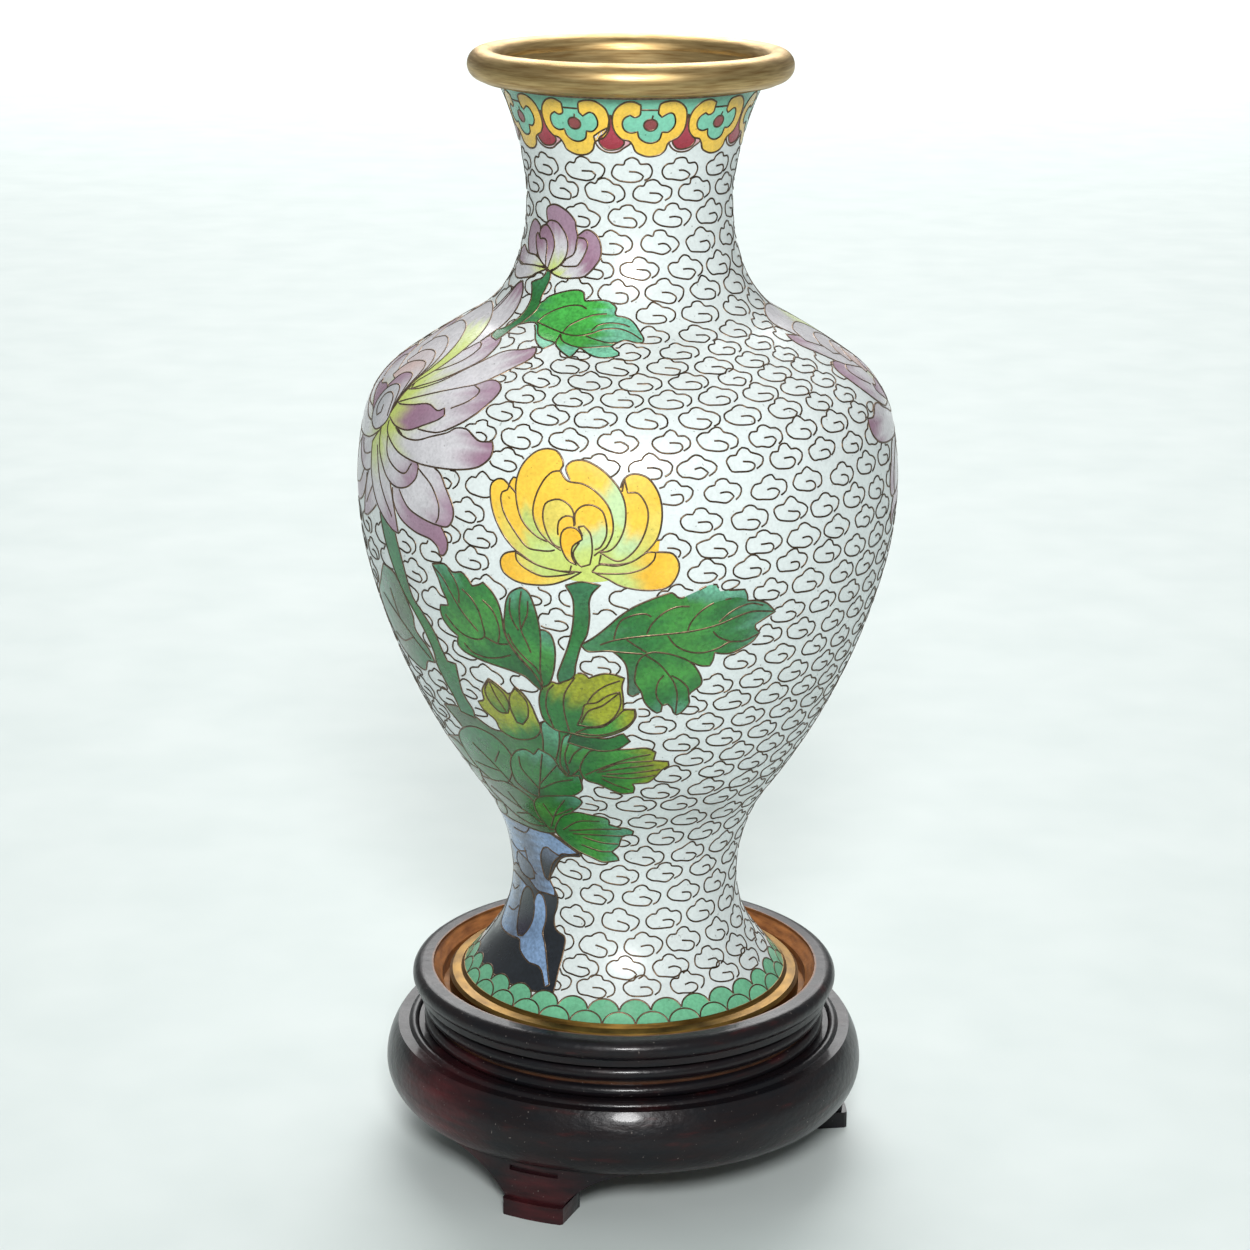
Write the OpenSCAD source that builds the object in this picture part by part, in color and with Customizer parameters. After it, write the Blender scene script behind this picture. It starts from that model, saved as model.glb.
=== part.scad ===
// Cloisonne vase on a turned wooden stand.
// The origin is on the axis, at the surface the stand's feet rest on, with +Z up and -Y to the front.
// The vase is one body, which lifts straight up out of the recess in the stand.

/* [Vase] */
// Radius where the outer face meets the foot ring's top
vase_foot_r = 27.9; // [27.6:0.1:28.2]
// Height of that edge above the table
vase_foot_z = 29; // [28.8:0.1:29.4]
// Thickness of the ground and polished enamel
enamel_t = 0.7; // [0.5:0.1:0.8]
// Thickness of the raised copper sheet
copper_t = 0.8; // [0.6:0.1:1]
// Thickness of the lining inside the vase
lining_t = 0.4; // [0.3:0.1:0.6]
// Height of the border wires between the bands
wire_h = 0.6; // [0.4:0.1:0.8]

/* [Rim] */
// Tube radius of the rolled brass rim
rim_tube_r = 2.4; // [2.2:0.1:2.5]
// Radius of the circle that the tube's centre follows
rim_ring_r = 22.9; // [22.8:0.1:23.2]
// Height of the tube's centre above the table
rim_z = 179; // [178.6:0.1:179.2]

/* [Foot ring] */
// Outer radius of the brass ring under the vase
foot_ring_r = 29.2; // [28.8:0.1:29.4]
// Radius of the hollow inside that ring
foot_hollow_r = 24.4; // [24:0.1:24.8]

/* [Stand] */
// Radius of the recess that the foot ring sits in
recess_r = 30.4; // [30.2:0.1:30.6]
// Height of the recess floor above the table
recess_z = 26; // [25.8:0.1:26.2]
// Clearance under the foot ring
seat_gap = 0.1; // [0.05:0.05:0.2]
// Largest radius of the base moulding
base_r = 39.8; // [39:0.1:40.4]
// Height of the base moulding's underside, which is the feet's height
base_z = 9.5; // [9:0.1:10]
// Width of a foot across its toe
toe_w = 10.5; // [9:0.5:12]
// Turn of the first foot from the front
foot_turn = -22.5; // [-60:0.5:60]

/* [Hidden] */
$fn = 128;

// The vase's outer face is a chain of tangent arcs, from the foot edge up to the rim.
// Each entry is [radius, turn in degrees], and a turn is positive where the face bulges out.
FACE = [
    [80, -6.5], [18, -36], [28.5, -37],
    [104, 23], [52, 25], [14.5, 43],
    [120, 6.5], [15, -41], [30, -28.5], [50, -17.5]
];
// Direction of the first arc at the foot edge, in degrees from straight out
FACE_START = 133;
// Each arc runs on past its ends by this much, so that neighbours join into one solid
arc_lap = 0.002;

// Heights that divide the vase into its bands and its copper pieces
wall_top = rim_z - rim_tube_r - 0.2;
collar_wire_z = wall_top - wire_h;
collar_z = 170;
neck_seam_z = 150;
waist_seam_z = 61;
belly_seam_z = 115;
scale_z = 34;
foot_wire_z = 29.7;
sleeve_foot_z = 151;
base_plate_t = 1;
base_plate_z = foot_wire_z - base_plate_t;

// Depth of each layer's outer and inner face below the polished surface
enamel_in = enamel_t;
copper_in = enamel_in + copper_t;
lining_in = copper_in + lining_t;

// Turned mouldings of the stand's upper ring, as [radius of the centre, height, tube radius]
LIP = [33.6, 28.9, 1.7];
BEADS = [[32.4, 24.4, 1.25], [32.4, 21.3, 1.05]];
ledge_r = recess_r - 3;
ledge_z = recess_z - 2;
seat_wall_r = 32.2;
fillet_r = 34.3;

// The base moulding bulges in two arcs that meet at its widest, and is cut flat above and below
upper_bulge_r = 10.5;
lower_bulge_r = 6.3;
bulge_z = base_z + 4.6;
base_top_z = base_z + 10.7;
// A small ring stands on its top, as [radius of the centre, height, tube radius]
TOP_RING = [35.2, base_top_z - 0.3, 0.9];
base_inner_r = 24;
socket_z = base_top_z - 3.2;

// Feet and the dowels that hold them
toe_h = 2.8;
toe_r = base_r - 1.7;
toe_chamfer = 0.4;
toe_step = 0.3;
bracket_r = toe_r - 0.9;
foot_inner_r = 31;
flank_w = 12;
flank_h = base_z - toe_h - 0.4;
flank_r = (flank_w * flank_w + flank_h * flank_h) / (2 * flank_h);
pin_r = 1.2;
pin_ring_r = 34;
pin_z = [4, 14];
FOOT_TURNS = [for (i = [0:2]) foot_turn + 120 * i];

// ---- The chain of arcs ----

// 1 where arc i bulges out, -1 where it is hollow
function bulge(i) = FACE[i][1] > 0 ? 1 : -1;

// Direction of the face where arc i starts
function heading(i) = i == 0 ? FACE_START : heading(i - 1) + FACE[i - 1][1];

// Unit vector from arc i's centre to its point with direction h
function spoke(i, h) = bulge(i) * [sin(h), -cos(h)];

// Centre of arc i, as [radius, height]
function centre(i) = start(i) - FACE[i][0] * spoke(i, heading(i));

// Where arc i starts, as [radius, height]
function start(i) =
    i == 0 ? [vase_foot_r, vase_foot_z]
           : centre(i - 1) + FACE[i - 1][0] * spoke(i - 1, heading(i));

// The stretch of wall under arc i, between two depths below the face
module arc_wall(i, depth_out, depth_in) {
    r_a = FACE[i][0] - bulge(i) * depth_out;
    r_b = FACE[i][0] - bulge(i) * depth_in;
    reach = 1.3 * (FACE[i][0] + depth_in);
    lap_turn = bulge(i) * arc_lap / FACE[i][0] * 180 / PI;
    intersection() {
        translate(centre(i)) difference() {
            circle(max(r_a, r_b));
            circle(min(r_a, r_b));
        }
        polygon([
            centre(i),
            centre(i) + reach * spoke(i, heading(i) - lap_turn),
            centre(i) + reach * spoke(i, heading(i + 1) + lap_turn)
        ]);
    }
}

// A shell that follows the vase's face between two depths and two heights
module vase_shell(z_low, z_high, depth_out, depth_in) {
    rotate_extrude() intersection() {
        union() {
            for (i = [0:len(FACE) - 1])
                if (start(i)[1] - depth_in < z_high)
                    arc_wall(i, depth_out, depth_in);
        }
        translate([0, z_low]) square([60, z_high - z_low]);
    }
}

// ---- Metal of the vase ----

module rim_ring() {
    color("goldenrod") rotate_extrude() {
        translate([rim_ring_r, rim_z]) circle(rim_tube_r);
        polygon([
            [18.9, wall_top],
            [rim_ring_r, wall_top],
            [rim_ring_r, rim_z],
            [rim_ring_r - rim_tube_r, rim_z]
        ]);
    }
}

module throat_sleeve() {
    color("darkgoldenrod")
        vase_shell(sleeve_foot_z, wall_top, copper_in, lining_in);
}

module neck_core() {
    color("sienna") vase_shell(neck_seam_z, wall_top, enamel_in, copper_in);
}

module shoulder_core() {
    color("sienna") vase_shell(belly_seam_z, neck_seam_z, enamel_in, copper_in);
}

module belly_core() {
    color("sienna") vase_shell(waist_seam_z, belly_seam_z, enamel_in, copper_in);
}

module foot_core() {
    color("sienna") vase_shell(foot_wire_z, waist_seam_z, enamel_in, copper_in);
}

module base_plate() {
    color("sienna")
        translate([0, 0, base_plate_z]) cylinder(r = foot_hollow_r, h = base_plate_t);
}

module foot_ring() {
    z0 = recess_z + seat_gap;
    chamfer = 0.5;
    color("goldenrod") rotate_extrude() polygon([
        [foot_hollow_r, z0],
        [foot_ring_r - chamfer, z0],
        [foot_ring_r, z0 + chamfer],
        [foot_ring_r, vase_foot_z],
        [foot_ring_r - chamfer, vase_foot_z + chamfer],
        [vase_foot_r - 0.6, foot_wire_z],
        [foot_hollow_r, foot_wire_z]
    ]);
}

// ---- Enamel of the vase ----

module collar_enamel() {
    color("darkturquoise") vase_shell(collar_z, collar_wire_z, 0, enamel_in);
}

module ground_enamel() {
    color("ghostwhite") vase_shell(scale_z, collar_z, 0, enamel_in);
}

module scale_enamel() {
    color("mediumseagreen") vase_shell(foot_wire_z + wire_h, scale_z, 0, enamel_in);
}

module inner_enamel() {
    color("cadetblue")
        vase_shell(base_plate_z + base_plate_t, sleeve_foot_z, copper_in, lining_in);
}

module base_enamel() {
    color("cadetblue")
        translate([0, 0, base_plate_z - enamel_t]) cylinder(r = foot_hollow_r, h = enamel_t);
}

module collar_wire() {
    color("peru") vase_shell(collar_wire_z, wall_top, 0, enamel_in);
}

module foot_wire() {
    color("peru") vase_shell(foot_wire_z, foot_wire_z + wire_h, 0, enamel_in);
}

// ---- Stand ----

module seat_ring() {
    color("#2a1712") rotate_extrude() difference() {
        union() {
            for (ring = concat([LIP], BEADS))
                translate([ring[0], ring[1]]) circle(ring[2]);
            translate([ledge_r, socket_z])
                square([seat_wall_r - ledge_r, LIP[1] - socket_z]);
            translate([recess_r, LIP[1] - LIP[2]])
                square([LIP[0] - recess_r, 2 * LIP[2]]);
            translate([recess_r, LIP[1] - LIP[2] - 0.9])
                square([fillet_r - recess_r, 1.8]);
        }
        polygon([
            [0, ledge_z],
            [recess_r, ledge_z],
            [recess_r, LIP[1] - 0.4],
            [LIP[0] - LIP[2], LIP[1] + 1.2],
            [LIP[0] - LIP[2], LIP[1] + 5],
            [0, LIP[1] + 5]
        ]);
    }
}

module seat_floor() {
    color("#7a3f22")
        translate([0, 0, ledge_z]) cylinder(r = recess_r, h = recess_z - ledge_z);
}

module base_ring() {
    color("#35140f") difference() {
        rotate_extrude() difference() {
            union() {
                intersection() {
                    translate([base_r - upper_bulge_r, bulge_z]) circle(upper_bulge_r);
                    translate([base_inner_r, bulge_z - arc_lap])
                        square([base_r - base_inner_r, base_top_z - bulge_z + arc_lap]);
                }
                intersection() {
                    translate([base_r - lower_bulge_r, bulge_z]) circle(lower_bulge_r);
                    translate([base_inner_r, base_z])
                        square([base_r - base_inner_r, bulge_z - base_z]);
                }
                translate([base_inner_r, base_z])
                    square([base_r - lower_bulge_r - base_inner_r, base_top_z - base_z]);
                translate([TOP_RING[0], TOP_RING[1]]) circle(TOP_RING[2]);
            }
            translate([0, socket_z]) square([seat_wall_r, 10]);
        }
        pins();
    }
}

// The dowels, one above each foot
module pins() {
    for (turn = FOOT_TURNS)
        rotate([0, 0, turn - 90]) translate([pin_ring_r, 0, pin_z[0]])
            cylinder(r = pin_r, h = pin_z[1] - pin_z[0], $fn = 32);
}

// Outline of a foot from the front: a stem under a bracket with long hollow flanks
module bracket_outline() {
    stem_w = toe_w - 2 * toe_step;
    reach = stem_w / 2 + flank_w;
    difference() {
        translate([-reach, toe_h - 1]) square([2 * reach, base_z - toe_h + 1]);
        for (side = [-1, 1]) {
            translate([side * reach, toe_h + flank_h - flank_r]) circle(flank_r);
            translate([side * (reach + 5) - flank_w - 5, toe_h - 10])
                square([2 * flank_w + 10, 10]);
        }
    }
}

// Plan of a toe, whose front follows the stand's round and whose corners are eased
module toe_plan() {
    intersection() {
        difference() {
            circle(toe_r);
            circle(foot_inner_r);
        }
        polygon([
            [-toe_w / 2, 0],
            [-toe_w / 2, 2 * toe_chamfer - toe_r],
            [-toe_w / 2 + 2 * toe_chamfer, -toe_r - toe_chamfer],
            [toe_w / 2 - 2 * toe_chamfer, -toe_r - toe_chamfer],
            [toe_w / 2, 2 * toe_chamfer - toe_r],
            [toe_w / 2, 0]
        ]);
    }
}

// A bracket foot, turned from the front by an angle
module bracket_foot(turn) {
    groove_w = 8.4;
    groove_h = 0.9;
    groove_z = base_z - 1.9;
    color("#35140f") difference() {
        rotate([0, 0, turn]) union() {
            linear_extrude(toe_h) toe_plan();
            intersection() {
                rotate_extrude() translate([foot_inner_r + toe_step, 0])
                    square([bracket_r - foot_inner_r - toe_step, base_z]);
                rotate([90, 0, 0]) linear_extrude(60) bracket_outline();
            }
        }
        rotate([0, 0, turn]) intersection() {
            translate([-groove_w / 2, -60, groove_z]) cube([groove_w, 60, groove_h]);
            rotate_extrude() translate([bracket_r - 0.7, 0]) square([5, base_z]);
        }
        pins();
    }
}

module foot_front() { bracket_foot(FOOT_TURNS[0]); }

module foot_right() { bracket_foot(FOOT_TURNS[1]); }

module foot_left() { bracket_foot(FOOT_TURNS[2]); }

module foot_pins() {
    color("burlywood") pins();
}

rim_ring();
throat_sleeve();
neck_core();
shoulder_core();
belly_core();
foot_core();
base_plate();
base_enamel();
inner_enamel();
foot_ring();
collar_enamel();
collar_wire();
ground_enamel();
scale_enamel();
foot_wire();
seat_ring();
seat_floor();
base_ring();
foot_front();
foot_right();
foot_left();
foot_pins();
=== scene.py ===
"""A cloisonne vase with chrysanthemums on a cloud ground, standing on its turned wooden stand.

All decoration is drawn on a chart of the vase's face and laid onto the face by to_surface().
On the chart x runs round the vase from the front toward +X, and y runs up the wall. The chart keeps angles,
and one unit of it is 1 mm where the vase's radius is CHART_R.
"""

import math
import random

import bpy
import numpy as np
from mathutils import Matrix, Vector
from mathutils.geometry import delaunay_2d_cdt


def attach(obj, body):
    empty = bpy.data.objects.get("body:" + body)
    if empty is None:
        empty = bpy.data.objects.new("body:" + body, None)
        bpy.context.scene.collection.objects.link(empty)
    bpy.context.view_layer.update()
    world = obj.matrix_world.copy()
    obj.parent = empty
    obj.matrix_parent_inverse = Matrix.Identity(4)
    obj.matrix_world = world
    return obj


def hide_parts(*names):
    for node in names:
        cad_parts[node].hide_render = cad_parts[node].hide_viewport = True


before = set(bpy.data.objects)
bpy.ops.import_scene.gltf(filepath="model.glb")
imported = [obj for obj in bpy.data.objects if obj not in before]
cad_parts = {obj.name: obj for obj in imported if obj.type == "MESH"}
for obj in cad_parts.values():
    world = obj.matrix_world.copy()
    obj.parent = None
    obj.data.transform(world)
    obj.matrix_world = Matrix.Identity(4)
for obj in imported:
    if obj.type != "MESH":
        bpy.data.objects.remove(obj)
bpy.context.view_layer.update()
MM = 0.001
rng = random.Random(7)

# ---------------------------------------------------------------- the vase's face

# The arcs of part.scad, from the foot up: radius in mm, turn in degrees (positive bulges out)
FACE = [
    (80, -6.5), (18, -36), (28.5, -37),
    (104, 23), (52, 25), (14.5, 43),
    (120, 6.5), (15, -41), (30, -28.5), (50, -17.5),
]
FACE_START = 133
VASE_FOOT = (27.9, 29.0)
CHART_R = 41.36
CHART_ZERO_Z = 100
AROUND = 2 * math.pi * CHART_R


def trace_face(steps=60):
    """Points of the face from the foot up: radius, height and heading, and their climb along the chart."""
    r, z = VASE_FOOT
    heading = math.radians(FACE_START)
    points = [(r, z, heading)]
    for radius, turn in FACE:
        turn = math.radians(turn)
        side = math.copysign(1, turn)
        cr = r - radius * side * math.sin(heading)
        cz = z + radius * side * math.cos(heading)
        for i in range(1, steps + 1):
            h = heading + turn * i / steps
            points.append((cr + radius * side * math.sin(h), cz - radius * side * math.cos(h), h))
        r, z, heading = points[-1]
    p = np.array(points)
    length = np.hypot(np.diff(p[:, 0]), np.diff(p[:, 1]))
    mid_r = (p[1:, 0] + p[:-1, 0]) / 2
    climb = np.concatenate([[0], np.cumsum(length / mid_r)]) * CHART_R
    return p, climb


FACE_POINTS, FACE_Y = trace_face()
FACE_Y = FACE_Y - np.interp(CHART_ZERO_Z, FACE_POINTS[:, 1], FACE_Y)


def chart_y(z):
    """Chart height of the face at height z."""
    return float(np.interp(z, FACE_POINTS[:, 1], FACE_Y))


def radius_at(y):
    """Radius of the face in mm at a chart height."""
    return np.interp(y, FACE_Y, FACE_POINTS[:, 0])


def to_surface(chart, lift):
    """Chart points laid on the face, lifted off it by so many mm, in metres."""
    chart = np.asarray(chart, dtype=float)
    y = chart[:, 1]
    r = np.interp(y, FACE_Y, FACE_POINTS[:, 0])
    z = np.interp(y, FACE_Y, FACE_POINTS[:, 1])
    h = np.interp(y, FACE_Y, FACE_POINTS[:, 2])
    turn = chart[:, 0] / CHART_R
    out = r + lift * np.sin(h)
    return np.stack([out * np.sin(turn), -out * np.cos(turn), z - lift * np.cos(h)], axis=1) * MM


# Depths below the polished face, in mm: the ground, the coloured cells, and the wires' tops
GROUND_LIFT = -0.10
CELL_LIFT = -0.06
WIRE_LIFT = -0.005
# Widths of the wires in mm: round the coloured cells, in the clouds, and in the small loops
WIRE_W = 0.34
CLOUD_WIRE_W = 0.30
LOOP_WIRE_W = 0.28

# ---------------------------------------------------------------- lines and outlines on the chart


def smooth(points, closed, corner=58):
    """A curve through the points, bent softly except where they turn by more than corner degrees."""
    p = np.asarray(points, dtype=float)
    n = len(p)
    spans = n if closed else n - 1
    sharp = []
    for i in range(n):
        a, b, c = p[i - 1], p[i], p[(i + 1) % n]
        u, v = b - a, c - b
        turn = abs(math.degrees(math.atan2(u[0] * v[1] - u[1] * v[0], u @ v)))
        sharp.append(turn > corner or (not closed and i in (0, n - 1)))
    out = []
    for i in range(spans):
        b, c = p[i], p[(i + 1) % n]
        a = b + (b - c) if sharp[i] else p[i - 1]
        d = c + (c - b) if sharp[(i + 1) % n] else p[(i + 2) % n]
        size = math.dist(b, c)
        steps = max(2, int(size / 0.45))
        m0 = (c - a) / 2
        m1 = (d - b) / 2
        m0 *= min(1.0, size / (np.linalg.norm(m0) + 1e-9))
        m1 *= min(1.0, size / (np.linalg.norm(m1) + 1e-9))
        for k in range(steps):
            t = k / steps
            out.append(
                (2 * t**3 - 3 * t**2 + 1) * b + (t**3 - 2 * t**2 + t) * m0
                + (3 * t**2 - 2 * t**3) * c + (t**3 - t**2) * m1
            )
    if not closed:
        out.append(p[-1])
    return np.array(out)


def signed_area(outline):
    """Area of a closed outline, positive where it runs anticlockwise."""
    x, y = outline[:, 0], outline[:, 1]
    return float(x @ np.roll(y, -1) - np.roll(x, -1) @ y) / 2


def inside(points, outline):
    """True for each point inside the closed outline."""
    points = np.asarray(points)
    x, y = points[:, 0], points[:, 1]
    hit = np.zeros(len(points), dtype=bool)
    low, high = outline.min(axis=0), outline.max(axis=0)
    near = (x >= low[0]) & (x <= high[0]) & (y >= low[1]) & (y <= high[1])
    if not near.any():
        return hit
    px, py = x[near], y[near]
    found = np.zeros(len(px), dtype=bool)
    ends = np.roll(outline, -1, axis=0)
    for (ax, ay), (bx, by) in zip(outline, ends):
        if ay != by:
            crosses = (ay > py) != (by > py)
            at = ax + (py - ay) * (bx - ax) / (by - ay)
            found ^= crosses & (px < at)
    hit[near] = found
    return hit


def runs(points, keep, shortest=3):
    """The unbroken stretches of a line whose points are kept."""
    pieces, run = [], []
    for p, k in zip(points, keep):
        if k:
            run.append(p)
        elif run:
            pieces.append(run)
            run = []
    pieces.append(run)
    return [np.array(r) for r in pieces if len(r) >= shortest]


# ---------------------------------------------------------------- meshes


class Pile:
    """Vertices and faces gathered for one piece, with a colour at each face corner where it has them."""

    def __init__(self):
        self.points, self.faces, self.tints = [], [], []

    def add(self, points, faces, tints=None):
        start = len(self.points)
        self.points.extend(map(tuple, points))
        self.faces.extend(tuple(start + i for i in f) for f in faces)
        if tints is not None:
            self.tints.extend(tints)

    def piece(self, name, material, slot, body="vase"):
        mesh = bpy.data.meshes.new(name)
        mesh.from_pydata(self.points, [], self.faces)
        mesh.polygons.foreach_set("use_smooth", [True] * len(mesh.polygons))
        if self.tints:
            layer = mesh.color_attributes.new("tint", "FLOAT_COLOR", "CORNER")
            flat = np.array(self.tints, dtype=np.float32).reshape(-1, 3)
            flat = np.concatenate([flat, np.ones((len(flat), 1), np.float32)], axis=1)
            layer.data.foreach_set("color", flat.ravel())
        mesh.materials.append(material)
        thing = bpy.data.objects.new(name, mesh)
        bpy.context.scene.collection.objects.link(thing)
        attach(thing, body)
        return thing


def wire(pile, line, width=WIRE_W, closed=False):
    """Adds one flat wire set on edge in the enamel, ground flush with it."""
    p = np.asarray(line, dtype=float)
    if len(p) < 2:
        return
    if closed:
        before, after = np.roll(p, 1, axis=0), np.roll(p, -1, axis=0)
    else:
        before = np.concatenate([p[:1], p[:-1]])
        after = np.concatenate([p[1:], p[-1:]])
    along = after - before
    along /= np.linalg.norm(along, axis=1, keepdims=True) + 1e-9
    across = np.stack([-along[:, 1], along[:, 0]], axis=1)
    scale = (CHART_R / radius_at(p[:, 1]))[:, None]
    rows = []
    for offset, lift in ((-0.5, GROUND_LIFT - 0.03), (-0.33, WIRE_LIFT), (0.33, WIRE_LIFT),
        (0.5, GROUND_LIFT - 0.03)):
        rows.append(to_surface(p + across * offset * width * scale, lift))
    n = len(p)
    points = np.stack(rows, axis=1).reshape(-1, 3)
    faces = []
    for i in range(n if closed else n - 1):
        j = (i + 1) % n
        for k in range(3):
            faces.append((i * 4 + k, j * 4 + k, j * 4 + k + 1, i * 4 + k + 1))
    pile.add(points, faces)


def band(pile, z_low, z_high, lift, rows, segments=320):
    """Adds a band of the face all round between two heights."""
    y = np.linspace(chart_y(z_low), chart_y(z_high), rows + 1)
    x = np.arange(segments) * AROUND / segments
    grid = np.array([(a, b) for b in y for a in x])
    faces = []
    for j in range(rows):
        for i in range(segments):
            k = (i + 1) % segments
            faces.append((j * segments + i, j * segments + k, (j + 1) * segments + k,
            (j + 1) * segments + i))
    pile.add(to_surface(grid, lift), faces)


# ---------------------------------------------------------------- colours


def srgb(r, g, b):
    """Linear colour from 0 to 255 screen values."""
    c = np.array([r, g, b]) / 255
    return np.where(c <= 0.04045, c / 12.92, ((c + 0.055) / 1.055) ** 2.4)


GOLD = srgb(243, 198, 70)
AMBER = srgb(242, 188, 54)
BUTTER = srgb(224, 206, 98)
PALE_GREEN = srgb(194, 212, 122)
MINT = srgb(190, 218, 164)
LEAF = srgb(38, 114, 50)
DEEP_LEAF = srgb(28, 84, 42)
BRIGHT_LEAF = srgb(62, 142, 56)
TEAL = srgb(88, 152, 122)
AQUA = srgb(122, 200, 166)
BRIGHT_GREEN = srgb(70, 172, 72)
OLIVE = srgb(156, 164, 36)
GREY_GREEN = srgb(74, 104, 72)
STEM = srgb(56, 122, 80)
MAUVE = srgb(162, 132, 152)
ROSE = srgb(152, 116, 138)
LILAC = srgb(208, 206, 210)
LIME = srgb(198, 214, 112)
CREAM = srgb(226, 222, 224)
ROCK_BLUE = srgb(132, 162, 200)
ROCK_GREY = srgb(98, 112, 134)
ROCK_BLACK = srgb(30, 35, 42)
YELLOW = srgb(234, 196, 78)
TURQUOISE = srgb(118, 192, 164)
CRIMSON = srgb(150, 44, 58)
DOT_RED = srgb(138, 66, 66)
SCALE_GREEN = srgb(108, 180, 140)
DUSKY_LEAF = srgb(74, 108, 84)
BLUE_LEAF = srgb(60, 120, 78)
PALE_LIME = srgb(214, 226, 160)
PETAL_GREY = srgb(204, 202, 206)
PETAL_ASH = srgb(204, 200, 204)
PETAL_BLUSH = srgb(206, 194, 196)
PETAL_PINK = srgb(206, 182, 178)
PETAL_STEEL = srgb(186, 188, 192)
CLEFT_GREY = srgb(70, 78, 88)
HOLLOW_GREEN = srgb(38, 50, 52)
HOLLOW_PLUM = srgb(44, 40, 56)
HEM_PINK = srgb(206, 160, 168)
DROP_PINK = srgb(164, 58, 74)
DROP_BROWN = srgb(112, 60, 50)


class Cell:
    """One coloured cell: its outline, its colours from one point out to another, and the wires inside it."""

    def __init__(self, outline, colours, start=None, end=None, lines=(), edge=True):
        self.outline = smooth(outline, True)
        self.colours = colours
        self.start, self.end = start, end
        self.lines = [smooth(line, False) for line in lines]
        self.edge = edge

    def moved(self, shift=0.0, mirror=None):
        """The same cell further round, or mirrored about the upright line x = mirror."""

        def place(p):
            p = np.array(p, dtype=float)
            if mirror is not None:
                p[..., 0] = 2 * mirror - p[..., 0]
            p[..., 0] += shift
            return p

        other = Cell.__new__(Cell)
        other.outline = place(self.outline)
        other.colours, other.edge = self.colours, self.edge
        other.start = None if self.start is None else place(self.start)
        other.end = None if self.end is None else place(self.end)
        other.lines = [place(line) for line in self.lines]
        return other

    def tint(self, points):
        """Colour at each chart point."""
        stops = np.array(self.colours)
        if len(stops) == 1:
            return np.repeat(stops, len(points), axis=0)
        start, end = np.array(self.start, float), np.array(self.end, float)
        reach = end - start
        t = (points - start) @ reach / (reach @ reach)
        side = (points - start) @ np.array([-reach[1], reach[0]]) / math.sqrt(reach @ reach)
        t = t + 0.05 * np.sin(side * 1.9 + start[0]) + 0.03 * np.sin(side * 4.3 + start[1])
        t = np.clip(t, 0, 1) * (len(stops) - 1)
        low = np.minimum(t.astype(int), len(stops) - 2)
        mix = (t - low)[:, None]
        mix = mix * mix * (3 - 2 * mix)
        return stops[low] * (1 - mix) + stops[low + 1] * mix


def paint(layers, wire_pile, spacing=0.75):
    """Lays down cells, later ones over earlier ones, with wires along every border that shows.

    Each layer is a cell with the pile its glass goes to.
    """
    cells = [cell for cell, pile in layers]
    corners, loops = [], []
    for cell in cells:
        loop = cell.outline if signed_area(cell.outline) > 0 else cell.outline[::-1]
        loops.append(list(range(len(corners), len(corners) + len(loop))))
        corners.extend(map(tuple, loop))
    every = np.array(corners)
    low, high = every.min(axis=0), every.max(axis=0)
    grid = []
    y, odd = low[1], 0
    while y < high[1]:
        x = low[0] + odd * spacing / 2
        while x < high[0]:
            grid.append((x, y))
            x += spacing
        y += spacing * 0.87
        odd = 1 - odd
    grid = np.array(grid)
    kept = np.zeros(len(grid), dtype=bool)
    for cell in cells:
        kept |= inside(grid, cell.outline)
    verts = [Vector(c) for c in corners] + [Vector(g) for g in grid[kept]]
    made = delaunay_2d_cdt(verts, [], loops, 1, 1e-5, True)
    flat = np.array([(v.x, v.y) for v in made[0]])
    tri = np.array(made[2])
    centres = flat[tri].mean(axis=1)
    tops = np.full(len(tri), -1)
    for i, cell in enumerate(cells):
        tops[inside(centres, cell.outline)] = i
    tints = np.zeros((len(tri), 3, 3))
    for i, cell in enumerate(cells):
        mine = tops == i
        if mine.any():
            tints[mine] = cell.tint(flat[tri[mine]].reshape(-1, 2)).reshape(-1, 3, 3)
    for pile in {id(pile): pile for cell, pile in layers}.values():
        owned = [i for i, (cell, other) in enumerate(layers) if other is pile]
        mine = np.isin(tops, owned)
        used, faces = np.unique(tri[mine], return_inverse=True)
        pile.add(to_surface(flat[used], CELL_LIFT), faces.reshape(-1, 3).tolist(),
            tints[mine].reshape(-1, 3))
    for i, cell in enumerate(cells):
        lines = list(cell.lines)
        if cell.edge:
            lines.append(np.concatenate([cell.outline, cell.outline[:1]]))
        for line in lines:
            seen = np.ones(len(line), dtype=bool)
            for later in cells[i + 1:]:
                seen &= ~inside(line, later.outline)
            for run in runs(line, seen):
                wire(wire_pile, run)


# ---------------------------------------------------------------- the yellow chrysanthemum

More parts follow.
